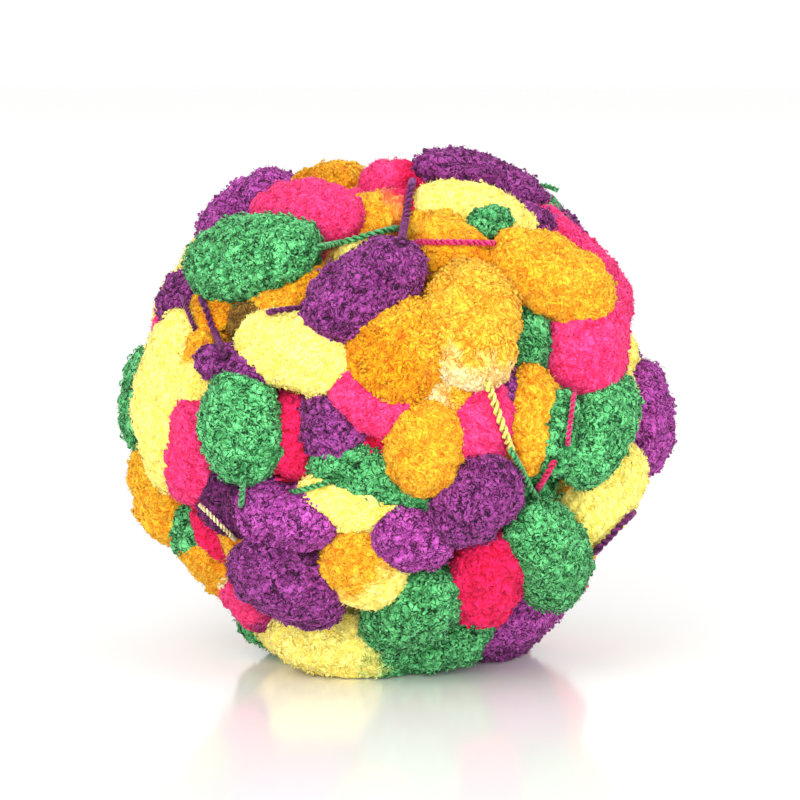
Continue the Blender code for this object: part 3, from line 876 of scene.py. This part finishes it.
threads = []
thread_routes = [(end_route, LOOSE_END_THICK)]
for number, numbers in enumerate(FRONT_THREADS):
    row = dict(zip(THREAD_COLUMNS, numbers))
    thick = row["thick"] * MM
    thread_routes.append((thread_route(row), thick))
    name = f"thread_{number + 1:02d}"
    threads.append(rope_along(name, thread_routes[-1][0], thick, row["dye"], row["into"]))
print(len(threads), "runs of bare thread")

# %% [markdown]
# ## Who can see a place
# The skin is kept only where it can be seen, so a place on it is looked at from above and from six
# slanting sides. A place inside a neighbour is seen by nobody: a ray that leaves it meets the back of
# a face. Curls need more air, so they are rooted only where a straight look down finds them.

# %% Look at places
LOOKS_ROUND = 6
LOOK_TILT = math.radians(50)
ROOT_CLEAR = 0.3 * MM


def looks_in():
    """The straight looks at a place: one from above it and some slanting ones all round."""
    turns = [2 * math.pi * count / LOOKS_ROUND for count in range(LOOKS_ROUND)]
    level, rise = math.sin(LOOK_TILT), math.cos(LOOK_TILT)
    slants = [(level * math.cos(turn), level * math.sin(turn), rise) for turn in turns]
    return [Vector(look) for look in [(0, 0, 1)] + slants]


LOOKS = looks_in()


def buried(place):
    """Whether a place lies inside a body, where a ray straight up from it meets a back of a face."""
    way = Vector(place - CENTRE).normalized()
    _, normal, _, _ = body_tree.ray_cast(Vector(place) + way * ROOT_CLEAR, way)
    return normal is not None and normal.dot(way) > 0


def in_sight(place):
    """Whether any of the looks reaches a place past all the bodies."""
    if buried(place):
        return False
    facing = Vector(place - CENTRE).to_track_quat("Z", "Y")
    return any(body_tree.ray_cast(Vector(place), facing @ look)[0] is None for look in LOOKS)


def open_to_air(place, out):
    """Whether a root can be seen from outside, straight down on it or straight down on the ball."""
    start = Vector(place + out * ROOT_CLEAR)
    out, over = Vector(out), (start - Vector(CENTRE)).normalized()
    ways = (out, over, (out + over).normalized())
    return any(body_tree.ray_cast(start, way)[0] is None for way in ways)


print(len(LOOKS), "looks at each place")

# %% [markdown]
# ## Raising tufts
# The pile of such a pompom clumps into tufts, with creases between them that swirl about. A noise
# that passes zero gives them: its size without its sign is sharp at zero, which makes the crease, and
# round between. Shifting the place by a second noise first lets the creases swirl. Two sizes of tuft
# are added up. The second noise and the random numbers of the pile start from a seed, so that each run
# makes the same ball.

# %% Raise tufts
SEED = 7
TUFTS = ((5, 0.5), (2.4, 0.5))
WARP = 0.9
ROUND_FROM = 0.3
random = np.random.default_rng(SEED)
noise.seed_set(SEED)


def tuft(spot, pitch):
    """How high a tuft stands at a spot in millimetres: 0 in its crease and 1 on its back."""
    warped = spot / pitch + noise.noise_vector(spot / pitch / 2) * WARP
    return math.sqrt(min(abs(noise.noise(warped)) / ROUND_FROM, 1))


def tufted(places):
    """How high the pile stands at each place, from 0 to 1."""
    spots = [Vector(place) / MM for place in places]
    return sum(share * np.array([tuft(spot, pitch) for spot in spots]) for pitch, share in TUFTS)


print("tufts are", [pitch for pitch, _ in TUFTS], "mm apart")

# %% [markdown]
# ## Planting curls
# A curl lies over its root like a comma, with one end down in the pile and the other one free. Green
# and purple pompoms are curlier. In the gold and cream ones the fibres are combed outwards from the
# middle of the pompom. A kind of curl is a row: the share of roots that bear one, its length, width,
# arch and rise in millimetres, how deep it sits, how much it bends, and how much it follows its
# neighbours or the comb. Two in a hundred curls are strays, thin ones that stand up.

# %% Plant curls
CURL_THICK = 0.5
CURL_COLUMNS = ("share", "long", "wide", "arch", "rise", "seat", "bend", "flow", "combed")
CURL_KINDS = {
    "curly": (0.2, (1.6, 2.8), (0.9, 1.4), (0.5, 1.0), (-0.2, 0.3), (-0.4, 0.1), 0.9, 0.8, 0.0),
    "crinkled": (0.15, (1.2, 2.0), (1.0, 1.6), (0.5, 0.9), (-0.2, 0.3), (-0.4, 0.1), 0.6, 0.6, 0.2),
    "combed": (0.35, (2.2, 3.6), (1.0, 1.5), (0.4, 0.8), (-0.2, 0.3), (-0.5, 0.0), 0.3, 0.3, 1.8),
    "ruffled": (0.12, (1.4, 2.2), (1.0, 1.5), (0.4, 0.7), (-0.2, 0.2), (-0.5, -0.1), 0.5, 0.5, 0.4),
    "plush": (0.12, (1.2, 1.8), (1.0, 1.5), (0.4, 0.7), (-0.2, 0.2), (-0.5, -0.1), 0.4, 0.3, 0.5),
    "stray": (0.0, (1.2, 2.0), (0.35, 0.5), (0.3, 0.5), (0.4, 1.2), (-0.2, 0.2), 0.2, 0.3, 0.3),
}
KIND_DYES = {
    "curly": ("green",),
    "crinkled": ("purple", "plum", "lilac", "red"),
    "plush": ("pink",),
    "ruffled": ("orange", "yellow"),
    "combed": ("gold", "amber", "straw", "cream"),
}
DYE_KINDS = {dye: kind for kind, dyes in KIND_DYES.items() for dye in dyes}
STRAY_SHARE = 0.02
FLOW_PITCH = 4 * MM
HIGHEST = 1.0 * MM


def curls_on(roots, outs, radial, kind):
    """The points of a curl on each root, and how high each point stands, from 0 to 1."""
    row = dict(zip(CURL_COLUMNS, CURL_KINDS[kind]))
    count = len(roots)
    long, wide, arch, rise, seat = (
        random.uniform(*row[size], count) * MM for size in ("long", "wide", "arch", "rise", "seat")
    )
    flow = np.array([noise.noise_vector(Vector(root) / FLOW_PITCH) for root in roots]).reshape(-1, 3)
    ways = unit(random.normal(size=(count, 3))) + unit(flow) * row["flow"] + radial * row["combed"]
    ways = unit(ways - outs * np.sum(ways * outs, axis=1, keepdims=True))
    sides = np.cross(outs, ways)
    bend = random.normal(size=count) * row["bend"] * long / 2
    up, across, along = curl_points.T
    arched = 1 - along ** 2
    forward = (long / 2)[:, None] * along
    sideways = (wide / 2)[:, None] * across + bend[:, None] * arched
    height = seat[:, None] + arch[:, None] * arched + rise[:, None] * (1 + along) / 2
    height = height + (CURL_THICK * wide)[:, None] * up
    places = roots[:, None, :] + ways[:, None, :] * forward[:, :, None]
    places = places + sides[:, None, :] * sideways[:, :, None] + outs[:, None, :] * height[:, :, None]
    return places, np.clip(height / HIGHEST, 0, 1)


def pile_on(roots, outs, radial, kind):
    """Curls on the roots, a few of them strays."""
    stray = random.uniform(size=len(roots)) < STRAY_SHARE
    curls, heights = curls_on(roots, outs, radial, kind)
    curls[stray], heights[stray] = curls_on(roots[stray], outs[stray], radial[stray], "stray")
    return curls, heights


print(len(CURL_KINDS), "kinds of curl")

# %% [markdown]
# ## Planting fibres
# Each root also bears one fibre, which leans any way it likes. Real fibres are too fine and too many
# to be made one by one, so each stands for a few that cling together.

# %% Plant fibres
FIBRE_SCATTER = 0.7 * MM
FIBRE_LEAN = 0.9
FIBRE_LONG = (0.8 * MM, 1.6 * MM)
FIBRE_WIDE = 0.3 * MM
# Painted shade: fibres are darker at the foot and lighter at the tip.
FIBRE_SHADE = (0.4, 0.3)


def fibres_on(roots, outs):
    """The points of a fibre beside each root, and how far each point is painted from shade towards
    light.
    """
    count = len(roots)
    aside = random.normal(size=(count, 3)) * FIBRE_SCATTER
    feet = roots + aside - outs * np.sum(aside * outs, axis=1, keepdims=True)
    ways = unit(outs + random.normal(size=(count, 3)) * FIBRE_LEAN)
    sides = unit(np.cross(ways, random.normal(size=(count, 3))))
    long = random.uniform(*FIBRE_LONG, count)
    up, across, _ = fibre_points.T
    places = feet[:, None, :] + ways[:, None, :] * (long[:, None] * up)[:, :, None]
    places = places + sides[:, None, :] * (across * FIBRE_WIDE)[None, :, None]
    least, more = FIBRE_SHADE
    return places, np.clip(least + more * up, 0, 1)[None, :] * np.ones((count, 1))


print("fibres are", [round(long / MM, 1) for long in FIBRE_LONG], "mm long")

# %% [markdown]
# ## Dyeing and shading the pile
# Little light reaches down between the tufts and curls, so their low points are painted with the
# shaded colour of the dye and their high backs with the lit one. Each curl is a little lighter or
# darker than the next. Where one dye changes to another along a pompom, a noise makes the change
# wavy, as dye creeps along fibres.

# %% Dye the pile and paint its shade
# How much the painted shade varies from curl to curl, and how far curls are painted from the shaded
# colour towards the lit one as they rise.
SHADE_SPREAD = 0.14
CURL_SHADE = (0.35, 0.4)
CHANGE_AT = 0.5
CHANGE_SOFTNESS = 0.2
CHANGE_PITCH = 5 * MM
CHANGE_WAVES = 0.15


def dyed_along(row, shares, places):
    """The shaded and lit colours of the dye at shares of a pompom's length, with a wavy change between
    dyes.
    """
    waves = np.array([noise.noise(Vector(place) / CHANGE_PITCH) for place in places]) * CHANGE_WAVES
    change = row.get("change", CHANGE_AT)
    mix = np.clip((shares + waves - change) / CHANGE_SOFTNESS + 0.5, 0, 1)[:, None, None]
    return DYES_LIT_AND_SHADED[row["dye"]] * (1 - mix) + DYES_LIT_AND_SHADED[row["into"]] * mix


def shaded_by_height(root_lit_and_shaded_dyes, heights):
    """The colour of each point, painted from the dye's shaded colour low down to its lit colour high
    up.
    """
    shade = heights + random.normal(size=(len(heights), 1)) * SHADE_SPREAD
    shade = np.clip(shade, 0, 1)[:, :, None]
    return root_lit_and_shaded_dyes[:, None, IN_SHADE] * (1 - shade) + root_lit_and_shaded_dyes[:, None, IN_LIGHT] * shade


def grown_on(roots, outs, radial, kind, root_lit_and_shaded_dyes):
    """The curls and fibres on the roots, each with the shape of its faces and its dye colours with
    painted shade.
    """
    curled = random.uniform(size=len(roots)) < CURL_KINDS[kind][0]
    curls, heights = pile_on(roots[curled], outs[curled], radial[curled], kind)
    least, more = CURL_SHADE
    curl_colours_with_shade = shaded_by_height(root_lit_and_shaded_dyes[curled], least + more * heights)
    fibres, fibre_heights = fibres_on(roots, outs)
    fibre_colours_with_shade = shaded_by_height(root_lit_and_shaded_dyes, fibre_heights)
    return (curls, curl_triangles, curl_colours_with_shade), (fibres, fibre_triangles, fibre_colours_with_shade)


def joined(points, triangles, dyes, grown):
    """One set of arrays of a skin and all that grows on it or lies under it."""
    for places, shape, shades in grown:
        shifts = len(points) + places.shape[1] * np.arange(len(places))
        triangles = np.vstack((triangles, (shape[None, :, :] + shifts[:, None, None]).reshape(-1, 3)))
        points = np.vstack((points, over_table(places.reshape(-1, 3))))
        dyes = np.vstack((dyes, shades.reshape(-1, 4)))
    return points, triangles, dyes


print("a change of dye takes", CHANGE_SOFTNESS, "of a pompom's length")

# %% [markdown]
# ## Pressing the pile under a thread
# A thread that is drawn tight over a pompom presses its pile flat. So the pile rises from nothing
# beside the thread to its full height a little way off.

# %% Find the room beside the threads
PRESSED = 0.5
PRESSED_OVER = 1.5
thread_tree = KDTree(sum(len(route) for route, _ in thread_routes))
thread_reach = []
for route, thick in thread_routes:
    for place in route:
        thread_tree.insert(place, len(thread_reach))
        thread_reach.append(thick * PRESSED)
thread_tree.balance()


def room_by_thread(places):
    """How freely the pile stands at each place, from 0 under a thread to 1 well away from it."""
    finds = [thread_tree.find(place) for place in places]
    gaps = np.array([distance / thread_reach[number] for _, number, distance in finds])
    return np.clip((gaps - 1) / PRESSED_OVER, 0, 1)


print(len(thread_reach), "places along the threads")

# %% [markdown]
# ## The skin of a pompom
# The skin is the fine blank, laid on the ball and lifted off the body by the height of its tufts, and
# painted with shade in its creases and the lit colour on its tufts. The part that nobody can see is
# cut off. What that leaves open is closed by the coarse body, which lies a little deeper and is painted
# with the shade of a seam between pompoms.

# %% Make the skin
SKIN_LOW = 0.2 * MM
SKIN_HIGH = 2.1 * MM
SKIN_CLEAR = 1.5 * MM
INNER_SINK = 0.5 * MM
# Painted shade: the skin runs from shaded to lit colour with the square of the tufts' height, and the
# coarse body gets the shaded colour darker still.
SHADE_POWER = 2
BODY_SHADE = 0.85


def raised(places, cores):
    """The places lifted off the body by the height of the pile, and how high it is, from 0 to 1."""
    heights = tufted(places) * room_by_thread(places)
    lifts = SKIN_LOW + (SKIN_HIGH - SKIN_LOW) * heights
    return places + unit(places - cores) * lifts[:, None], heights


def trimmed(triangles, shown):
    """The points that triangles with a point in sight use, and those triangles, numbered afresh."""
    used, numbered = np.unique(triangles[shown[triangles].any(axis=1)], return_inverse=True)
    return used, numbered.reshape(-1, 3)


def skin_of(row):
    """The open part of a pompom's skin, as points, triangles and dye colours with painted shade."""
    places, cores = swollen(row, skin_points)
    clear = places + unit(places - cores) * SKIN_CLEAR
    used, triangles = trimmed(skin_triangles, np.array([in_sight(place) for place in clear]))
    points, heights = raised(places[used], cores[used])
    root_lit_and_shaded_dyes = dyed_along(row, (skin_points[used, 2] + 1) / 2, points)
    # Painted shade down in the creases of the tufts, and the lit colour on their backs.
    dyes = shaded_by_height(root_lit_and_shaded_dyes, heights[:, None] ** SHADE_POWER)[:, 0]
    return over_table(points), triangles, dyes


def inner_of(row):
    """The open part of a pompom's plain body, sunk a little, to close what the skin leaves open, in
    painted shade.
    """
    places, cores = swollen(row, body_points)
    ways = unit(places - cores)
    shown = np.array([not buried(place) for place in places + ways * SKIN_CLEAR])
    used, triangles = trimmed(body_triangles, shown)
    places = (places - ways * INNER_SINK)[used]
    # Painted shade: the body gets the dye's shaded colour, darker still, as in a seam between pompoms.
    dyes = dyed_along(row, (body_points[used, 2] + 1) / 2, places)[:, IN_SHADE] * BODY_SHADE
    return places[None], triangles, dyes[None]


print("the pile is up to", round(SKIN_HIGH / MM, 1), "mm high")

# %% [markdown]
# ## Dressing the pompoms
# The roots are spread over a pompom by the golden angle again, on the straight body, where square-on
# is easy to work out, and are laid on the ball with it. Then curls and fibres are grown from the
# roots that are open to the air, and joined with the skin into one piece.

# %% Dress every pompom
ROOT_AREA = 1.7 * MM * MM
ROOT_OVER_TABLE = 3 * ABOVE_TABLE


def rooted(row, number):
    """Roots on a pompom, the ways square off it, their shares of the straight body and their cores."""
    sizes = half_sizes(row)
    half_high, half_wide, half_long = sizes
    area = 2 * math.pi * (half_high + half_wide) / 2 * 2 * half_long
    shares = golden_spread(round(area / ROOT_AREA), number, BLUNTNESS)
    steep = np.abs(shares[:, 2]) ** (BLUNTNESS - 1) * np.sign(shares[:, 2]) * BLUNTNESS / 2
    square = unit(np.column_stack((shares[:, 0], shares[:, 1], steep)) / sizes)
    roots, cores = laid(row, *(shares * sizes).T)
    beyond, _ = laid(row, *(shares * sizes + square * MM).T)
    return roots + swelling(roots, cores), unit(beyond - roots), shares, cores


def dressed_pompom(number, row):
    """A pompom piece: its skin with the curls and fibres on it."""
    roots, outs, shares, cores = rooted(row, number)
    kept = [
        root[2] > ROOT_OVER_TABLE and open_to_air(root, out) and room > 0
        for root, out, room in zip(roots, outs, room_by_thread(roots))
    ]
    roots, outs, shares, cores = roots[kept], outs[kept], shares[kept], cores[kept]
    middle = CENTRE + row["seat"] + outward(row["seat"]) * (row["lift"] + half_sizes(row)[0])
    roots, _ = raised(roots, cores)
    root_lit_and_shaded_dyes = dyed_along(row, (shares[:, 2] + 1) / 2, roots)
    grown = grown_on(roots, outs, unit(roots - middle), DYE_KINDS[row["dye"]], root_lit_and_shaded_dyes)
    arrays = joined(*skin_of(row), grown + (inner_of(row),))
    return piece_from(f"pompom_{number + 1:03d}", *arrays)


pieces = [dressed_pompom(number, row) for number, row in enumerate(pompoms)]
print(len(pieces), "pompoms with", sum(len(piece.data.polygons) for piece in pieces), "triangles")
print("most in one:", max(len(piece.data.polygons) for piece in pieces))

# %% [markdown]
# ## Dressing the heart
# The heart takes the dye of the pompom that lies nearest, so a gap looks like more of the same yarn.
# Its faces are painted with the dye's shaded colour, darker still, as painted shade down in the gaps.

# %% Dress the heart
HEART_ROOT_AREA = 2.6 * MM * MM
seat_tree = KDTree(len(pompoms))
for number, row in enumerate(pompoms):
    seat_tree.insert(CENTRE + row["seat"], number)
seat_tree.balance()


def nearest_lit_and_shaded_dyes(places):
    """The shaded and lit colours of the dye of the pompom that lies nearest to each place."""
    return np.array([DYES_LIT_AND_SHADED[pompoms[seat_tree.find(place)[1]]["dye"]] for place in places])


roots = golden_spread(round(4 * math.pi * HEART_HALF.mean() ** 2 / HEART_ROOT_AREA)) * HEART_HALF
outs = unit(roots / HEART_HALF ** 2)
roots = roots + CENTRE
kept = [open_to_air(root, out) for root, out in zip(roots, outs)]
roots, outs = roots[kept], outs[kept]
# Painted shade: the heart's faces get the shaded colour, darker still.
heart_colours_with_shade = nearest_lit_and_shaded_dyes(heart_points)[:, IN_SHADE] * BODY_SHADE
grown = grown_on(roots, outs, outs, "curly", nearest_lit_and_shaded_dyes(roots))
pieces.append(piece_from("heart", *joined(heart_points, heart_triangles, heart_colours_with_shade, grown)))
print("heart:", len(roots), "roots")

# %% [markdown]
# ## Shader maths as sums
# A finish is a chain of nodes, and long chains are hard to read. A small class wraps one output
# socket, so that a sum or a product of two of them adds the Math node for it.

# %% Write shader maths as sums
class Wire:
    """One output socket, with operators that add Math nodes."""

    def __init__(self, nodes, socket):
        self.nodes = nodes
        self.socket = socket

    def maths(self, operation, first, second):
        return self.nodes.node("ShaderNodeMath", dict(operation=operation), [first, second])

    def __add__(self, other):
        return self.maths("ADD", self, other)

    def __mul__(self, other):
        return self.maths("MULTIPLY", self, other)

    def __rsub__(self, other):
        return self.maths("SUBTRACT", other, self)

    __radd__ = __add__
    __rmul__ = __mul__


class Nodes:
    """The nodes of one material."""

    def __init__(self, name):
        self.material = bpy.data.materials.new(name)
        self.material.use_nodes = True
        self.tree = self.material.node_tree
        self.shader = self.tree.nodes["Principled BSDF"]

    def node(self, kind, settings, values, output=0):
        """A node with its settings made first, and the values or links of its sockets after."""
        made = self.tree.nodes.new(kind)
        for setting, value in settings.items():
            setattr(made, setting, value)
        for socket, value in values.items() if isinstance(values, dict) else enumerate(values):
            self.feed(made.inputs[socket], value)
        return Wire(self, made.outputs[output])

    def feed(self, socket, value):
        """Link a wire to a socket, or set its value."""
        if isinstance(value, Wire):
            self.tree.links.new(value.socket, socket)
        else:
            socket.default_value = value

    def feed_shader(self, values):
        """Feed the sockets of the shader, by their names."""
        for name, value in values.items():
            self.feed(self.shader.inputs[name], value)


print("a wire knows how to add, multiply and be taken from a number")

# %% [markdown]
# ## The finish of the fleece
# Acrylic fleece is matt, and light goes a little way into it, which softens its shadows. The colour
# comes from the dye attribute, which already holds painted shade. Noises break it up: a fine one for
# single fibres, a broad one for uneven dyeing, and two with creases, whose painted shade draws the
# cracks between clumps of fibres. Down in a crease light bounces from fibre to fibre and takes on more
# of the dye each time, so the painted shade there isn't only darker but deeper, as a dye that is
# multiplied by itself. The same creases give a small bump. The thread has the same finish with a
# shallower bump.

# %% Make the fleece and thread finishes
FIBRE_PITCH = 0.6 * MM
FIBRE_SPREAD = 0.25
FIBRE_BUMP = 0.5
BLOTCH_PITCH = 9 * MM
BLOTCH_SPREAD = 0.2
CREASE_PITCH = 2.8 * MM
CREASE_SWIRL = 1.2
CREASE_WIDTH = 0.06
CRACK_PITCH = 1.6 * MM
CRACK_WIDTH = 0.055
CRACK_SHARE = 0.5
NOISE_DETAIL = 1.0
NOISE_MIDDLE = 0.5
# How much deeper the painted shade in the creases makes the colour.
PAINTED_CREASE_DEEPENING = 0.6
BUMP_STRENGTH = 0.7
YARN_SPECULAR = 0.2
GLOW_SHARE = 0.6
GLOW_REACH = 1.4 * MM


def noise_of(nodes, place, pitch, swirl=0.0):
    """A smooth noise, from 0 to 1."""
    values = {"Vector": place, "Scale": 1 / pitch, "Detail": NOISE_DETAIL, "Distortion": swirl}
    return nodes.node("ShaderNodeTexNoise", {}, values)


def creased(nodes, smooth, width):
    """0 along the lines where a noise passes its middle, and 1 a little way off them."""
    off_middle = nodes.node("ShaderNodeMath", dict(operation="ABSOLUTE"), [smooth + -NOISE_MIDDLE])
    settings, values = dict(interpolation_type="SMOOTHSTEP"), {"Value": off_middle, "From Max": width}
    return nodes.node("ShaderNodeMapRange", settings, values, "Result")


def yarn_finish(name, roughness, sheen, bump_depth):
    """A matt finish from the dye attribute, with fine fibres, and creases, painted with shade and
    bumped, where a smooth noise passes its middle.
    """
    nodes = Nodes(name)
    place = nodes.node("ShaderNodeTexCoord", {}, [], "Object")
    fibres = noise_of(nodes, place, FIBRE_PITCH)
    cracks = noise_of(nodes, place, CRACK_PITCH, CREASE_SWIRL)
    creases = noise_of(nodes, place, CREASE_PITCH, CREASE_SWIRL)
    blotches = noise_of(nodes, place, BLOTCH_PITCH)
    # The dye attribute already holds painted shade, and the crease attribute says how dark the painted
    # shade in the creases is.
    dye = nodes.node("ShaderNodeAttribute", dict(attribute_name="dye"), [], "Color")
    depth = nodes.node("ShaderNodeAttribute", dict(attribute_name="crease"), [], "Fac")
    swell = creased(nodes, creases, CREASE_WIDTH)
    small = creased(nodes, cracks, CRACK_WIDTH)
    shade = 1 - FIBRE_SPREAD / 2 - BLOTCH_SPREAD / 2 + fibres * FIBRE_SPREAD + blotches * BLOTCH_SPREAD
    # Painted shade: darker along both sets of creases, as far as the crease attribute says.
    shade = shade * (1 - depth * (1 - swell)) * (1 - depth * CRACK_SHARE * (1 - small))
    # Painted shade: down in the creases the dye is multiplied by itself, so it is deeper as well as
    # darker.
    crease_shade_dip = (1 - swell * small) * PAINTED_CREASE_DEEPENING
    deepened_by_crease_shade = nodes.node("ShaderNodeVectorMath", dict(operation="MULTIPLY_ADD"), [dye, crease_shade_dip, 1 - crease_shade_dip])
    dye_with_crease_shade = nodes.node("ShaderNodeVectorMath", dict(operation="MULTIPLY"), [dye, deepened_by_crease_shade])
    values = {"Vector": dye_with_crease_shade, "Scale": shade}
    colour = nodes.node("ShaderNodeVectorMath", dict(operation="SCALE"), values)
    height = swell + small * CRACK_SHARE + fibres * FIBRE_BUMP
    values = {"Height": height, "Distance": bump_depth, "Strength": BUMP_STRENGTH}
    nodes.feed_shader({
        "Base Color": colour,
        "Normal": nodes.node("ShaderNodeBump", {}, values),
        "Roughness": roughness,
        "Sheen Weight": sheen,
        "Specular IOR Level": YARN_SPECULAR,
        "Subsurface Weight": GLOW_SHARE,
        "Subsurface Radius": (1, 1, 1),
        "Subsurface Scale": GLOW_REACH,
    })
    return nodes.material


fleece = yarn_finish("fleece_pile", roughness=0.95, sheen=0.02, bump_depth=0.8 * MM)
twisted = yarn_finish("twisted_thread", roughness=0.8, sheen=0.05, bump_depth=0.15 * MM)
print("nodes in the fleece finish:", len(fleece.node_tree.nodes))

# %% [markdown]
# ## Finishing the pieces
# Every piece gets its finish and rides with the ball's one body, and the solid it stands for is
# hidden. The loose end's solid is hidden already.

# %% Give every piece its finish
for made, finish, slot in ((pieces, fleece, "fleece"), (threads, twisted, "twisted_thread")):
    for piece in made:
        piece.data.materials.append(finish)
        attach(piece, "root")
        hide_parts("wound_yarn")
loose_end.data.materials.append(twisted)
print(len(pieces) + len(threads) + 1, "pieces finished")

# %% [markdown]
# ## The studio
# The ball stands on a white glossy table in soft white light, so a faint, blurred image of it shows
# in the table top. A white world gives the soft light from all round. Three round lamps, two above
# the front and a low one before it, give the pompoms their shape.

# %% Build the table and the light
FLOOR_SIZE = 40
FLOOR_WHITE = (0.86, 0.85, 0.84, 1)
FLOOR_ROUGHNESS = 0.14
FLOOR_SPECULAR = 0.8
bpy.ops.object.select_all(action="DESELECT")
bpy.ops.mesh.primitive_plane_add(size=FLOOR_SIZE)
floor = bpy.context.object
floor.name = "table_top"
gloss = Nodes("white_gloss")
gloss.feed_shader({
    "Base Color": FLOOR_WHITE,
    "Roughness": FLOOR_ROUGHNESS,
    "Specular IOR Level": FLOOR_SPECULAR,
})
floor.data.materials.append(gloss.material)

WORLD_WHITE = (1, 1, 1, 1)
WORLD_STRENGTH = 1.05
world = bpy.data.worlds.new("white studio")
world.use_nodes = True
world.node_tree.nodes["Background"].inputs["Color"].default_value = WORLD_WHITE
world.node_tree.nodes["Background"].inputs["Strength"].default_value = WORLD_STRENGTH
bpy.context.scene.world = world

LAMP_COLUMNS = ("place", "size", "power")
LAMPS = (
    ((-0.5, -1.1, 0.9), 1.0, 10),
    ((0.9, -0.9, 0.5), 1.0, 6),
    ((0, -1.3, 0.12), 0.8, 18),
)
for numbers in LAMPS:
    lamp = dict(zip(LAMP_COLUMNS, numbers))
    way = (Vector(CENTRE) - Vector(lamp["place"])).to_track_quat("-Z", "Y")
    bpy.ops.object.light_add(type="AREA", location=lamp["place"], rotation=way.to_euler())
    bpy.context.object.data.shape = "DISK"
    bpy.context.object.data.size = lamp["size"]
    bpy.context.object.data.energy = lamp["power"]
bpy.context.scene.view_settings.view_transform = "Standard"
print("studio:", len(LAMPS), "lamps")
